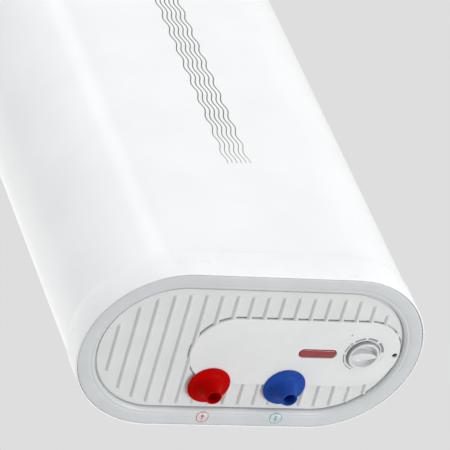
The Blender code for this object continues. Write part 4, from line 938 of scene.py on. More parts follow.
@dataclass
class Underside:
    """Bezel, ribbed panel and control cover.

    Heights go up from the bezel's lowest face, and insets go in from the body's outline. The ribs stand in a
    row along X, each turned by rib_lean radians. Scraps of rib are cleared round bare_spot, where the cover
    comes near the bezel. A cut says from what height to what height a cutter goes, and overlap is how far one
    cutter reaches past the next.
    """

    half_width: float = LAYOUT.half_width
    half_depth: float = LAYOUT.half_depth
    bezel_inset: float = 2.35
    bezel_width: float = 25.4
    panel_gap: float = 0.6
    recess: float = LAYOUT.recess
    panel_wall: float = 2.5
    trench: Point = (1.5, 1.7)
    moat: float = 1.9
    moat_wall: float = 1.5
    overlap: float = 2.0
    rib_pitch: float = 20.3
    rib_count: int = 9
    rib_width: float = 6.8
    rib_reach: float = 86.4
    rib_row: Point = (5.0, 2.2)
    rib_lean: float = 0.042
    rib_end_room: float = 4.0
    rib_foot: Point = (0.1, 0.2)
    rib_clear: float = 0.02
    bare_spot: Place = (191.0, 36.0, 0.0)
    bare_radius: float = 17.0
    screw_notch: float = 6.6
    screw_hole: float = 5.45
    pipe_hole: float = 11.3
    bezel_cut: Point = (8.0, 14.0)
    panel_cut: Point = (0.0, 12.0)
    rib_cut: Point = (-3.0, 9.0)
    cover_cut: Point = (-2.0, 9.0)
    cover_face: float = LAYOUT.cover_face
    cover_centre: Point = (59.0, 1.4)
    cover_half: Point = (138.25, 51.5)
    knob_groove: Point = (19.2, 22.3)
    groove_top: float = 4.7
    knob_hole: float = 17.3
    knob_bevel: float = 0.8
    screw_window: float = 3.4
    screw_bevel: float = 0.1
    bevel_rise: float = 0.5
    hair: float = 0.01
    window_half: Point = (25.3, 6.75)
    edge: float = 0.3
    cover_edge: float = 1.1
    rib_side: tuple[Point, ...] = (
        (0.0, 0.0), (0.3, 0.17), (0.8, 0.42), (1.3, 0.62), (1.9, 0.81), (2.6, 0.95), (3.2, 1.0),
    )
    face_points: tuple[Point, ...] = (
        (2.35, 2.0), (2.75, 0.85), (3.7, 0.3), (6.5, 0.02), (11.0, 0.05), (15.0, 0.3), (17.6, 0.8),
        (18.8, 1.2), (19.5, 1.3), (20.2, 1.15), (20.9, 1.1), (21.6, 1.3), (22.6, 1.9), (23.6, 2.6),
        (24.5, 3.5), (25.0, 4.6), (25.2, 6.9),
    )

    def bezel_height(self, inset: float) -> float:
        """The height of the bezel's face.

        Args:
            inset: Distance in from the outline.

        Returns:
            The face's height.
        """
        for (low, below), (high, above) in zip(self.face_points, self.face_points[1:]):
            if low <= inset <= high:
                return below + (above - below) * (inset - low) / (high - low)
        return 0.0

    def bezel(self) -> bpy.types.Object:
        """Builds the grey ring: a shallow face, a rolled lip and the ledge behind the panel.

        Returns:
            The piece.
        """
        piece = Piece("bezel_ring")
        ledge = self.recess + self.panel_wall + self.edge
        profile = smooth_line(self.face_points) + [
            (25.3, ledge), (32.2, ledge), (32.2, ledge + 2.4), (22.9, ledge + 2.4), (21.4, 4.4), (9.0, 2.7),
            (4.9, 5.0), (4.9, 13.9), (self.bezel_inset, 13.9),
        ]
        StadiumTool(self.half_width, self.half_depth, steps=64).sweep(piece.bm, profile)
        bezel = piece.finish(Finish.GREY_PLASTIC, BodyName.HEATER, ["bottom_bezel"], "grey_plastic")
        bore(bezel, (LAYOUT.screw_x, 0, 0), self.screw_notch, self.bezel_cut)
        return bezel

    def round_cover(self, room: float) -> StadiumTool:
        """Returns the drawing tool of the cover's outline, with room left round it."""
        return StadiumTool(self.cover_half[0] + room, self.cover_half[1] + room, self.cover_centre, 48)

    def rib_half(self, x: float) -> float:
        """How far a rib reaches to the front and back.

        Args:
            x: The rib's place along the row.

        Returns:
            Its half length, or zero where it doesn't fit.
        """
        past = max(abs(x) - (self.half_width - self.half_depth), 0)
        return math.sqrt(self.rib_reach ** 2 - past ** 2) if past < self.rib_reach - self.rib_end_room else 0.0

    def rib(self, bm: bmesh.types.BMesh, x: float) -> None:
        """Draws one rib with a crowned top and round ends, cut clear of the control cover.

        Args:
            bm: The mesh to draw in.
            x: The rib's place along the row.
        """
        before = set(bm.verts)
        rise = self.recess - self.cover_face - self.rib_clear
        flare, sink = self.rib_foot
        profile = [(-flare, self.recess + sink)]
        profile += [(inset, self.recess - rise * share) for inset, share in self.rib_side]
        StadiumTool(self.rib_half(x), self.rib_width / 2, steps=12).sweep(bm, profile, closed=False)
        fresh = added(bm.verts, before)
        rotate(bm, fresh, math.pi / 2 - self.rib_lean, "Z")
        bmesh.ops.translate(bm, verts=fresh, vec=(x + self.rib_row[0], self.rib_row[1], 0))

    def panel(self) -> bpy.types.Object:
        """Builds the panel: a plate with a trench round its rim and a groove round the control cover.

        Returns:
            The piece.
        """
        plate = Piece("panel_plate")
        back = self.recess + self.panel_wall
        rim = self.bezel_width + self.panel_gap
        floor, wall = self.recess + self.trench[1], rim + self.trench[0]
        profile = [(rim, back), (rim, floor), (wall, floor), (wall, self.recess + self.edge),
                   (wall + self.edge, self.recess)]
        StadiumTool(self.half_width, self.half_depth, steps=64).sweep(plate.bm, profile, closed=False)
        panel = plate.finish(Finish.PANEL_PLASTIC, BodyName.HEATER, ["ribbed_panel"], "pale_plastic")
        opening = self.round_cover(self.moat)
        low, wide = back - self.edge, self.moat + self.moat_wall
        cut_with(panel, lambda bm: opening.sweep(bm, [(0, 0), (0, low), (wide, low), (wide, 0)]))
        middle = [(wide + self.overlap, height) for height in self.panel_cut]
        cut_with(panel, lambda bm: opening.sweep(bm, middle, closed=False))
        bore(panel, (LAYOUT.screw_x, 0, 0), self.screw_hole, self.panel_cut)
        for x in (LAYOUT.hot_x, LAYOUT.cold_x):
            bore(panel, (x, LAYOUT.spigot_y, 0), self.pipe_hole, self.panel_cut)
        return panel

    def ribs(self) -> bpy.types.Object:
        """Builds the row of ribs, which stops at the control cover.

        Returns:
            The piece.
        """
        ribs = Piece("panel_ribs")
        for index in range(-self.rib_count, self.rib_count + 1):
            if self.rib_half(index * self.rib_pitch) > self.rib_width:
                self.rib(ribs.bm, index * self.rib_pitch)
        row = ribs.finish(Finish.PANEL_PLASTIC, BodyName.HEATER, (), "pale_plastic", sharp=50)
        around = self.round_cover(-self.edge)
        span = [(0, self.rib_cut[0]), (0, self.recess + self.overlap)]
        cut_with(row, lambda bm: around.sweep(bm, span, closed=False))
        bore(row, self.bare_spot, self.bare_radius, self.rib_cut)
        return row

    def cover(self) -> bpy.types.Object:
        """Builds the raised control cover with its openings.

        Returns:
            The piece.
        """
        piece = Piece("cover_plate")
        edge, face = self.cover_edge, self.cover_face
        rounded = arc_line((edge, face + edge), edge, 180, 270, 6)
        tool = StadiumTool(*self.cover_half, self.cover_centre, 64)
        tool.sweep(piece.bm, [(0, self.recess - 0.1)] + rounded, closed=False)
        cover = piece.finish(Finish.COVER_PLASTIC, BodyName.HEATER, ["control_cover"], "pale_plastic")
        low, high = self.cover_cut
        bend = face + self.bevel_rise
        holes = ((self.knob_hole, self.knob_bevel, LAYOUT.knob[0]),
                 (self.screw_window, self.screw_bevel, LAYOUT.screw_x))
        for radius, bevel, x in holes:
            wide = radius + bevel
            hole = [(0, low), (wide, low), (wide, face - self.hair), (radius, bend), (radius, high), (0, high)]
            cut_with(cover, lambda bm, line=hole, at=x: turn(bm, line, (at, 0, 0), 64))
        inner, outer = self.knob_groove
        groove = [(inner, low), (outer, low), (outer, self.groove_top), (inner, self.groove_top)]
        cut_with(cover, lambda bm: turn(bm, groove, (*LAYOUT.knob, 0), 96, closed=True))
        window = StadiumTool(*self.window_half, LAYOUT.lens, 24)
        frame_line = [(-self.bevel_rise, 0), (-self.bevel_rise, face), (0, bend), (0, high)]
        cut_with(cover, lambda bm: window.sweep(bm, frame_line, closed=False))
        return cover

    def boss(self) -> bpy.types.Object:
        """Builds the well round the cover's screw, coloured dark to paint the shade inside the hole.

        Returns:
            The piece.
        """
        piece = Piece("screw_well_shade")
        profile = [(3.42, self.recess - 0.2), (3.42, 8.4), (1.8, 8.4), (1.8, 10.3), (5.4, 10.3), (5.4, 5.3)]
        turn(piece.bm, profile, (LAYOUT.screw_x, 0, 0), 48, closed=True)
        return piece.finish(Finish.WELL_SHADE, BodyName.HEATER, (), "grey_plastic")

    def build(self) -> None:
        """Builds the pieces of the underside."""
        self.bezel()
        self.panel()
        self.ribs()
        self.cover()
        self.boss()


@dataclass
class Spigot:
    """One flared spigot sleeve with a rolled rim and a lip at its mouth."""

    name: str
    node: str
    x: float
    finish: Finish
    slot: str
    y: float = LAYOUT.spigot_y
    rim: float = 27.2
    mouth_level: float = -21.9

    def build(self) -> bpy.types.Object:
        """Builds the sleeve.

        Returns:
            The piece.
        """
        piece = Piece(self.name)
        flare = smooth_line([
            (self.rim, 1.75), (self.rim - 0.05, 1.2), (26.6, 0.55), (24.0, -0.2), (20.6, -1.0), (17.6, -2.0),
            (15.0, -3.9), (13.0, -6.9), (11.7, -10.6), (10.8, -14.4), (10.2, -18.2), (9.95, -19.9),
        ], 3)
        lip = [(10.05, -20.3), (10.35, -20.6), (10.4, -21.3), (10.15, -21.8), (9.6, self.mouth_level),
               (8.2, self.mouth_level), (7.85, -21.6), (7.7, -21.1)]
        inner = [(7.7, -3.3), (10.95, -3.3), (10.95, 1.2), (25.0, 2.05), (26.9, 2.08)]
        turn(piece.bm, flare + lip + inner, (self.x, self.y, 0), 96, closed=True)
        return piece.finish(self.finish, BodyName.HEATER, [self.node], self.slot, sharp=40)


@dataclass
class Controls:
    """Window, knob, scale and screw on the control cover."""

    cover_face: float = LAYOUT.cover_face
    knob: Point = LAYOUT.knob
    lens: Point = LAYOUT.lens
    lens_half: Point = (24.5, 5.95)
    screw_x: float = LAYOUT.screw_x
    scale_radius: float = 25.3
    print_height: float = 0.05
    scale_legs: tuple[Point, ...] = ((202, 231), (236, 270), (277, 301), (320, 352), (359, 391), (401, 440))
    thin: float = 1.0
    thick: float = 3.4
    ring_clock: float = 309.0
    ring_radius: float = 1.6
    ring_line: float = 1.1
    frost_clock: float = 322.0
    frost_radius: float = 38.6
    frost_arm: float = 1.5
    frost_line: float = 0.45
    side_marks: tuple[Point, ...] = ((94, 99), (103, 109))
    side_radius: float = 27.0
    side_line: float = 0.6
    blade_levels: tuple[Place, ...] = (
        (14.2, 4.9, 6.9), (15.6, 5.0, 4.2), (16.6, 5.1, 1.2), (17.0, 5.15, -0.6), (17.1, 5.1, -1.3),
        (17.0, 4.95, -1.8), (16.8, 4.6, -2.1), (16.3, 3.8, -2.3), (15.2, 2.4, -2.36),
    )
    blade_swell: float = 1.35
    recess_arm: Point = (3.4, 0.7)
    recess_depth: float = 2.2
    recess_level: float = 6.2
    arc_steps: int = 16
    ring_steps: int = 20

    def window(self) -> bpy.types.Object:
        """Builds the red window with a softly crowned face.

        Returns:
            The piece.
        """
        piece = Piece("window_lens")
        face = self.cover_face
        profile = [(0, 8.0), (0, face + 0.5), (0.2, face + 0.1), (0.6, face - 0.2), (1.3, face - 0.33),
                   (2.6, face - 0.4), (4.2, face - 0.43), (5.6, face - 0.44)]
        StadiumTool(*self.lens_half, self.lens, 32).sweep(piece.bm, profile, closed=False)
        return piece.finish(Finish.RED_LENS, BodyName.HEATER, ["indicator_lens"], "red_lens", sharp=60)

    def knob_side(self) -> bpy.types.Object:
        """Builds the band round the knob, coloured darker than its face to paint the shade on its side wall.

        Returns:
            The piece.
        """
        piece = Piece("knob_shade_band")
        band = [(19.85, 4.0), (20.3, 4.0), (20.45, 3.8), (20.45, 0.4), (20.35, -0.3), (20.1, -1.0),
                (19.85, -1.3)]
        turn(piece.bm, band, (*self.knob, 0), 128, closed=True)
        return piece.finish(Finish.KNOB_SIDE_SHADE, BodyName.KNOB, (), "knob_plastic", sharp=40)

    def dial_knob(self) -> bpy.types.Object:
        """Builds the knob: sloping side, thin rim, bowl and a grip blade across it.

        Returns:
            The piece.
        """
        piece = Piece("dial_knob")
        skin = [(0, 9.3), (16.2, 9.3), (16.2, 2.1), (19.6, 2.1), (19.8, 1.9), (19.8, -1.1)]
        rim = smooth_line([(19.9, -1.35), (19.55, -1.8), (19.0, -2.1), (18.4, -2.2), (17.7, -2.14),
                           (17.2, -1.9)], 3)
        bowl = smooth_line([(17.2, -1.9), (16.7, -0.6), (16.0, 1.4), (14.6, 3.7), (12.2, 5.5), (8.8, 6.7),
                            (4.6, 7.25), (0.0, 7.4)])
        turn(piece.bm, skin + rim + bowl[1:], (0, 0, 0), 128)
        self.blade(piece.bm)
        bmesh.ops.translate(piece.bm, verts=piece.bm.verts, vec=(*self.knob, 0))
        return piece.finish(Finish.KNOB_PLASTIC, BodyName.KNOB, ["thermostat_knob"], "knob_plastic", sharp=40)

    def blade(self, bm: bmesh.types.BMesh) -> None:
        """Raises the grip blade from the knob's bowl, level by level.

        Args:
            bm: The mesh to draw in.
        """
        verts = bmesh.ops.create_circle(bm, segments=64, radius=1.0)["verts"]
        edges = list({edge for vert in verts for edge in vert.link_edges})
        unit = {vert: vert.co.copy() for vert in verts}
        for vert in verts:
            vert.co = self.blade_point(unit[vert], self.blade_levels[0])
        for level in self.blade_levels[1:]:
            rise = bmesh.ops.extrude_edge_only(bm, edges=edges)["geom"]
            fresh, edges = new_verts(rise), new_edges(rise)
            for vert in fresh:
                below = min(verts, key=lambda other, spot=vert: (other.co - spot.co).length_squared)
                unit[vert] = unit[below]
            for vert in fresh:
                vert.co = self.blade_point(unit[vert], level)
            verts = fresh
        bmesh.ops.edgeloop_fill(bm, edges=edges)

    def blade_point(self, unit: Vector, level: Place) -> Vector:
        """Places a point of the blade's oval at one level.

        Args:
            unit: The point on a circle of radius one.
            level: Half length, half width and height.

        Returns:
            The point.
        """
        half_length, half_width, height = level
        swell = math.copysign(abs(unit.y) ** self.blade_swell, unit.y)
        return Vector((unit.x * half_length, swell * half_width, height))

    def spot(self, clock: float, radius: float) -> Place:
        """A point on the cover by clock angle round the knob, seen from below.

        Args:
            clock: Degrees clockwise from the front.
            radius: Distance from the knob's axis.

        Returns:
            The point.
        """
        angle = math.radians(clock)
        x, y = self.knob
        return (x + radius * math.sin(angle), y - radius * math.cos(angle), self.cover_face)

    def scale(self) -> bpy.types.Object:
        """Prints the scale: arcs that thicken clockwise, a small ring, a frost mark and two side marks.

        Returns:
            The piece.
        """
        piece = Piece("scale_print")
        rise = self.print_height
        first, last = self.scale_legs[0][0], self.scale_legs[-1][1]
        for start, stop in self.scale_legs:
            clocks = [start + (stop - start) * step / self.arc_steps for step in range(self.arc_steps + 1)]
            widths = [self.thin + (self.thick - self.thin) * (c - first) / (last - first) for c in clocks]
            ribbon(piece.bm, [self.spot(c, self.scale_radius) for c in clocks], widths, DOWN, rise)
        ring = Vector(self.spot(self.ring_clock, self.scale_radius))
        loop = [ring + Vector((self.ring_radius * math.cos(a), self.ring_radius * math.sin(a), 0))
                for a in (2 * math.pi * step / self.ring_steps for step in range(self.ring_steps))]
        ribbon(piece.bm, loop, [self.ring_line] * len(loop), DOWN, rise, closed=True)
        frost = Vector(self.spot(self.frost_clock, self.frost_radius))
        for angle in (0, math.pi / 3, 2 * math.pi / 3):
            arm = Vector((math.cos(angle), math.sin(angle), 0)) * self.frost_arm
            ribbon(piece.bm, [frost - arm, frost + arm], [self.frost_line] * 2, DOWN, rise)
        for start, stop in self.side_marks:
            path = [self.spot(c, self.side_radius) for c in (start, (start + stop) / 2, stop)]
            ribbon(piece.bm, path, [self.side_line] * len(path), DOWN, rise)
        return piece.finish(Finish.GREY_INK, BodyName.HEATER, (), "grey_plastic", wall=True)

    def screw(self) -> bpy.types.Object:
        """Builds the cover's pan-head screw with a cross recess.

        Returns:
            The piece.
        """
        piece = Piece("cross_screw")
        head = smooth_line([(0, 6.3), (1.4, 6.36), (2.4, 6.7), (2.95, 7.4), (3.0, 8.0)], 3)
        turn(piece.bm, head + [(1.5, 8.05), (1.5, 18.0), (0.1, 20.0), (0, 20.0)], (self.screw_x, 0, 0), 40)
        screw = piece.finish(Finish.DARK_STEEL, BodyName.HEATER, ["cover_screw"], "zinc")
        for arm in (self.recess_arm, self.recess_arm[::-1]):
            cut_with(screw, lambda bm, size=arm: self.slot_box(bm, size))
        return screw

    def slot_box(self, bm: bmesh.types.BMesh, size: Point) -> None:
        """Draws one arm of the screw's recess.

        Args:
            bm: The mesh to draw in.
            size: Length along X and along Y.
        """
        made = bmesh.ops.create_cube(bm, size=1.0)["verts"]
        bmesh.ops.scale(bm, vec=(*size, self.recess_depth), verts=made)
        bmesh.ops.translate(bm, vec=(self.screw_x, 0, self.recess_level), verts=made)

    def build(self) -> None:
        """Builds the controls."""
        self.window()
        self.knob_side()
        self.dial_knob()
        self.scale()
        self.screw()


@dataclass
class Sticker:
    """A round film label on the bezel: a bare ring and a plain arrow.

    The arrow's shaft and head are given by how far they start and end from the centre, along its way.
    """

    name: str
    centre: Point
    finish: Finish
    slot: str
    towards_front: bool
    radius: float = 7.6
    line: float = 1.0
    depth: float = 7.4
    film: float = 0.08
    film_rim: float = 0.5
    print_level: float = 0.18
    arrow_level: float = 0.2
    ink: float = 0.04
    steps: int = 64
    slope_reach: float = 0.6
    shaft: Point = (-4.4, 0.8)
    shaft_widths: Point = (1.1, 1.1)
    head: Point = (0.6, 4.4)
    head_widths: Point = (4.4, 0.2)

    def build(self, underside: Underside) -> None:
        """Lays the film and its print on the bezel's face.

        Args:
            underside: Gives the height of the bezel's face.
        """
        film = Piece(self.name + "_film")
        disc = bmesh.ops.create_circle(film.bm, cap_ends=True, segments=self.steps,
                                       radius=self.radius + self.film_rim)
        bmesh.ops.scale(film.bm, verts=disc["verts"], vec=(1, self.depth / self.radius, 1))
        bmesh.ops.translate(film.bm, verts=disc["verts"], vec=(*self.centre, 0))
        bmesh.ops.inset_region(film.bm, faces=film.bm.faces[:], thickness=self.radius / 2)
        for vert in film.bm.verts:
            vert.co.z = self.face_height(underside, vert.co.y) - self.film
        film.finish(Finish.LABEL, BodyName.HEATER, (), "grey_plastic", wall=True)

        ink = Piece(self.name + "_print")
        loop = []
        for step in range(self.steps):
            angle = 2 * math.pi * step / self.steps
            x = self.centre[0] + self.radius * math.cos(angle)
            y = self.centre[1] + self.depth * math.sin(angle)
            loop.append((x, y, self.face_height(underside, y) - self.print_level))
        ribbon(ink.bm, loop, [self.line] * len(loop), DOWN, self.ink, closed=True)
        way = -1 if self.towards_front else 1
        x, y = self.centre
        z = self.face_height(underside, y) - self.arrow_level
        for run, widths in ((self.shaft, self.shaft_widths), (self.head, self.head_widths)):
            ribbon(ink.bm, [(x, y + along * way, z) for along in run], widths, DOWN, self.ink)
        ink.finish(self.finish, BodyName.HEATER, (), self.slot, wall=True)

    def face_height(self, underside: Underside, y: float) -> float:
        """The bezel's height on its rear side.

        Args:
            underside: Gives the height of the bezel's face.
            y: Place towards the wall.

        Returns:
            The height.
        """
        inset = underside.half_depth - abs(y)
        return min(underside.bezel_height(inset + step) for step in (-self.slope_reach, 0.0, self.slope_reach))


@dataclass
class Hanging:
    """Wall bracket, its bolts, the lower spacers and the cable inlet.

    The bracket's cutters start cut_lead in front of its sheet and go cut_depth towards the wall.
    """

    level: float = LAYOUT.hanger_level
    sheet: float = 2.5
    half_height: float = 20.0
    wall_y: float = 135.0
    foot_y: float = 121.5
    bolt_x: float = LAYOUT.hanger_x
    bolt_hole: float = 4.3
    bolt_gap: float = 0.3
    slot_x: float = 128.0
    slot_half: Point = (11.5, 5.0)
    slot_rise: float = 0.5
    keyhole: float = 8.0
    keyhole_drop: float = 6.0
    cut_lead: float = 5.0
    cut_depth: float = 9.0
    rim_angle: float = 1.2
    rim_round: float = 0.3
    half_length: float = 150.0
    foot: Point = (64.0, 98.0)
    fold_run: float = 6.0
    fold_round: float = 2.0
    spacer_at: Place = (85.0, 119.0, 120.0)
    inlet_y: float = 120.0

    def bracket(self) -> bpy.types.Object:
        """Builds the pressed strip with rounded folds and keyhole slots.

        Returns:
            The piece.
        """
        piece = Piece("bracket_sheet")
        near, far = self.foot
        line = [(self.half_length, self.wall_y), (far + self.fold_run, self.wall_y), (far, self.foot_y),
                (near, self.foot_y), (near - self.fold_run, self.wall_y)]
        line += [(-x, y) for x, y in reversed(line)]
        last = piece.bm.verts.new((*line[0], self.level - self.half_height))
        for x, y in line[1:]:
            last = bmesh.ops.extrude_vert_indiv(piece.bm, verts=[last])["verts"][0]
            last.co = Vector((x, y, self.level - self.half_height))
        folds = [vert for vert in piece.bm.verts if len(vert.link_edges) == 2]
        bmesh.ops.bevel(piece.bm, geom=folds, offset=self.fold_round, segments=4, profile=0.5,
                        affect="VERTICES", material=-1)
        grown = bmesh.ops.extrude_edge_only(piece.bm, edges=piece.bm.edges[:])["geom"]
        bmesh.ops.translate(piece.bm, verts=new_verts(grown), vec=(0, 0, 2 * self.half_height))
        bmesh.ops.recalc_face_normals(piece.bm, faces=piece.bm.faces)
        piece.bm.faces.ensure_lookup_table()
        if max(face.normal.y for face in piece.bm.faces) < 0.9:
            bmesh.ops.reverse_faces(piece.bm, faces=piece.bm.faces[:])
        bmesh.ops.solidify(piece.bm, geom=piece.bm.faces[:], thickness=self.sheet)
        rim = [edge for edge in piece.bm.edges if edge.calc_face_angle(0) > self.rim_angle]
        bmesh.ops.bevel(piece.bm, geom=rim, offset=self.rim_round, segments=2, profile=0.5, affect="EDGES",
                        material=-1)
        bracket = piece.finish(Finish.ZINC, BodyName.HEATER, ["wall_bracket"], "zinc")
        depth = (0, self.cut_depth)
        for side in (-1, 1):
            wide = (side * self.slot_x, self.wall_y - self.cut_lead, self.level - self.keyhole_drop)
            bolt = (side * self.bolt_x, self.foot_y - self.cut_lead, self.level)
            bore(bracket, wide, self.keyhole, depth, axis="Y")
            bore(bracket, bolt, self.bolt_hole, depth, 32, "Y")
            cut_with(bracket, lambda bm, x=side * self.slot_x: self.slot(bm, x))
        return bracket

    def slot(self, bm: bmesh.types.BMesh, x: float) -> None:
        """Draws the upright part of a keyhole slot.

        Args:
            bm: The mesh to draw in.
            x: Its place along the bracket.
        """
        StadiumTool(*self.slot_half, steps=24).sweep(bm, [(0, 0), (0, self.cut_depth)], closed=False)
        rotate(bm, bm.verts, math.pi / 2, "Z")
        rotate(bm, bm.verts, -math.pi / 2, "X")
        at = (x, self.wall_y - self.cut_lead, self.level + self.slot_rise)
        bmesh.ops.translate(bm, verts=bm.verts, vec=at)

    def bolt(self, side: int, word: str) -> None:
        """Builds a hanger bolt with a chamfered hexagon head.

        Args:
            side: -1 or 1 along X.
            word: The side's name.
        """
        piece = Piece(f"hex_bolt_{word}")
        at = (side * self.bolt_x, self.foot_y + self.bolt_gap, self.level)
        head = [(0, 5.3), (6.3, 5.3), (7.4, 4.7), (7.4, 0.9), (0, 0.9)]
        shank = [(0, 0.9), (7.3, 0.9), (7.4, 0.7), (7.4, 0), (4, 0), (4, -21.0), (3.4, -21.6), (0, -21.6)]
        turn(piece.bm, head, at, 6, axis="Y")
        turn(piece.bm, shank, at, 40, axis="Y")
        piece.finish(Finish.ZINC, BodyName.HEATER, [f"hanger_bolt_{word}"], "zinc")

    def spacer(self, side: int, word: str) -> None:
        """Builds a spacer foot with a soft edge and a dished face.

        Args:
            side: -1 or 1 along X.
            word: The side's name.
        """
        piece = Piece(f"spacer_{word}")
        profile = [(0, 0), (15.8, 0), (16, 0.4), (15.2, 4.0)]
        profile += smooth_line([(13.6, 12.6), (13.3, 14.4), (12.6, 15.6), (11.4, 15.98)], 3)
        profile += smooth_line([(9.6, 15.7), (7.6, 15.0), (4.5, 14.8), (0, 14.8)], 3)
        x, y, z = self.spacer_at
        turn(piece.bm, profile, (side * x, y, z), 64, axis="Y")
        piece.finish(Finish.BLACK_PLASTIC, BodyName.HEATER, [f"wall_spacer_{word}"], "black_plastic")

    def gland(self) -> None:
        """Builds the rubber cable inlet with its stepped collar."""
        piece = Piece("inlet_gland")
        profile = smooth_line([(4.2, 2.2), (5.2, 2.3), (8.6, 2.2), (10.0, 1.6), (10.5, 0.9), (10.5, 0.4)], 3)
        profile += [(8.0, 0.3), (8.0, -2.4), (8.7, -2.9), (8.4, -4.0), (7.4, -9.8), (4.2, -9.8)]
        turn(piece.bm, profile, (LAYOUT.inlet_x, self.inlet_y, LAYOUT.inlet_level), 64, closed=True, axis="Y")
        piece.finish(Finish.RUBBER, BodyName.HEATER, ["cable_gland"], "rubber")

    def build(self) -> None:
        """Builds the pieces at the back."""
        self.bracket()
        for side, word in ((-1, "left"), (1, "right")):
            self.bolt(side, word)
            self.spacer(side, word)
        self.gland()


class InnerParts:
    """Finishes for the solids that stay as they are."""

    SLOTS = {finish.value.name: finish for finish in Finish} | {"pale_plastic": Finish.PANEL_PLASTIC}

    def dress(self) -> None:
        """Gives every solid the finish of its slot."""
        for part in frame["record"]["subparts"]:
            finish = self.SLOTS[part["material_slot"]]
            node = frame["nodes"][part["node"]]
            for place in node.material_slots:
                place.material = finish.material()
            LOG.info("%s: finish %s", part["node"], finish.value.name)


@dataclass(frozen=True)
class Lamp:
    """One rectangular soft lamp."""

    name: str
    place: Place
    target: Place
    size: Point
    power: float

    def build(self) -> None:
        """Hangs the lamp and points it."""
        data = bpy.data.lights.new(self.name, "AREA")
        data.shape = "RECTANGLE"
        data.size, data.size_y = self.size
        data.energy = self.power
        lamp = stand(self.name, data)
        lamp.location = self.place
        lamp.rotation_euler = (Vector(self.target) - Vector(self.place)).to_track_quat("-Z", "Y").to_euler()
        lamp.visible_camera = False
        LOG.info("lamp %s", self.name)


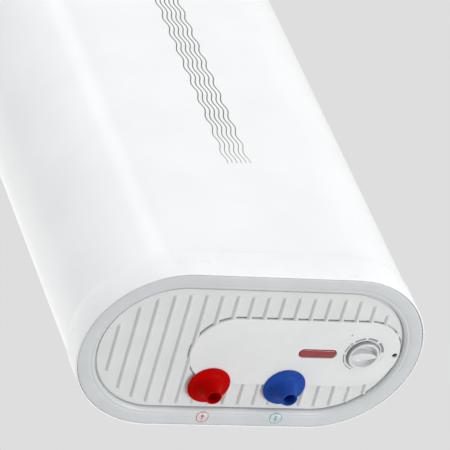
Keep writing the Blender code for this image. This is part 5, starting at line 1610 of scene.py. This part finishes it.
@dataclass
class Studio:
    """Floor, world, lamps and camera.

    The sky's levels go from straight down, at a place of 0, to straight up, at 1. The camera was fitted to
    the underside's outline in the photograph.
    """

    backdrop: str = "#DEDEDE"
    ambient: tuple[Point, ...] = ((0.0, 0.10), (0.44, 0.08), (0.56, 1.34), (1.0, 0.5))
    floor_level: float = -12.0
    floor_half: float = 70.0
    camera_place: Place = (-1.9500058, -3.0991788, -4.2141809)
    camera_right: Place = (0.9228167, -0.2693108, -0.2754652)
    camera_down: Place = (0.0379440, 0.7751131, -0.6306821)
    focal_pixels: float = 4111.1
    image_pixels: float = 450.0
    sensor: float = 36.0
    clip: Point = (0.1, 60.0)
    # Two soft lamps for the walls, three high ones for their long highlights, one for the underside
    lamps: tuple[Lamp, ...] = (
        Lamp("front_low", (0.9, -3.6, -1.2), (0.0, -0.1, -0.35), (3.2, 2.6), 22.0),
        Lamp("right_fill", (3.2, -1.6, 0.6), (0.0, -0.1, -0.5), (2.4, 2.4), 6.2),
        Lamp("high_strip", (-0.25, -2.1, 2.0), (0.0, -0.1, -0.3), (0.75, 3.0), 10.4),
        Lamp("high_left", (-1.06, -1.75, 2.0), (0.0, -0.1, -0.3), (0.9, 3.0), 3.5),
        Lamp("high_rear", (-0.8, 1.9, 2.0), (0.0, -0.1, -0.3), (3.2, 3.0), 15.0),
        Lamp("under", (2.1, -0.6, -3.8), (0.0, -0.1, -0.7), (1.3, 1.3), 59.0),
    )

    def floor(self) -> None:
        """Lays the plain floor."""
        bm = bmesh.new()
        bmesh.ops.create_grid(bm, x_segments=1, y_segments=1, size=self.floor_half)
        bmesh.ops.translate(bm, verts=bm.verts, vec=(0, 0, self.floor_level))
        mesh = new_mesh("studio_floor", bm)
        tree = ShaderTree("studio_floor")
        mesh.materials.append(tree.principled({"Base Color": linear(self.backdrop), "Roughness": 0.9}))
        floor = stand("studio_floor", mesh)

    def world(self) -> None:
        """Sets a soft sky, brightest above the horizon, with the photograph's pale ground behind."""
        world = bpy.data.worlds.new("studio")
        tree = NodeTree(world)
        path = tree.add("ShaderNodeLightPath").outputs
        seen = tree.add("ShaderNodeMath", {0: path["Is Camera Ray"], 1: path["Is Transmission Ray"]},
                        operation="MAXIMUM").outputs[0]
        shown = tree.add("ShaderNodeMath", {0: seen, 1: path["Is Glossy Ray"]}, operation="MAXIMUM").outputs[0]
        way = tree.add("ShaderNodeTexCoord").outputs["Generated"]
        rise = tree.add("ShaderNodeSeparateXYZ", {0: way}).outputs["Z"]
        share = tree.add("ShaderNodeMath", {0: rise, 1: 0.5, 2: 0.5}, operation="MULTIPLY_ADD").outputs[0]
        ramp = tree.add("ShaderNodeValToRGB", {"Fac": share})
        stops = ramp.color_ramp.elements
        while len(stops) < len(self.ambient):
            stops.new(1.0)
        for stop, (place, level) in zip(stops, self.ambient):
            stop.position = place
            stop.color = (level, level, level, 1)
        light = tree.add("ShaderNodeBackground", {"Color": (1, 1, 1, 1), "Strength": ramp.outputs["Color"]})
        ground = tree.add("ShaderNodeBackground", {"Color": linear(self.backdrop)})
        mix = tree.add("ShaderNodeMixShader", {0: shown, 1: light.outputs[0], 2: ground.outputs[0]})
        tree.add("ShaderNodeOutputWorld", {"Surface": mix.outputs[0]})
        bpy.context.scene.world = world

    def camera(self) -> None:
        """Stands the camera at the photograph's viewing angle."""
        data = bpy.data.cameras.new("photo_camera")
        data.sensor_width = self.sensor
        data.sensor_fit = "HORIZONTAL"
        data.lens = self.focal_pixels * self.sensor / self.image_pixels
        data.clip_start, data.clip_end = self.clip
        right = Vector(self.camera_right).normalized()
        up = -Vector(self.camera_down).normalized()
        back = right.cross(up)
        turned = Matrix((right, up, back)).transposed().to_4x4()
        camera = stand("photo_camera", data)
        camera.matrix_world = Matrix.Translation(self.camera_place) @ turned
        bpy.context.scene.camera = camera

    def build(self) -> None:
        """Builds the studio."""
        self.floor()
        self.world()
        for lamp in self.lamps:
            lamp.build()
        self.camera()
        bpy.context.scene.view_settings.view_transform = "Standard"


def main() -> None:
    """Dresses the heater and builds the studio."""
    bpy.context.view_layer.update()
    InnerParts().dress()
    Shell().build()
    WavePrint().build()
    underside = Underside()
    underside.build()
    Spigot("red_sleeve", "hot_outlet_sleeve", LAYOUT.hot_x, Finish.RED_PLASTIC, "red_plastic").build()
    Spigot("blue_sleeve", "cold_inlet_sleeve", LAYOUT.cold_x, Finish.BLUE_PLASTIC, "blue_plastic").build()
    Controls().build()
    Sticker("hot_mark", (-35.4, 105.4), Finish.RED_INK, "red_plastic", True).build(underside)
    Sticker("cold_mark", (62.3, 105.0), Finish.CYAN_INK, "blue_plastic", False).build(underside)
    Hanging().build()
    Studio().build()


if __name__ == "__main__":
    main()
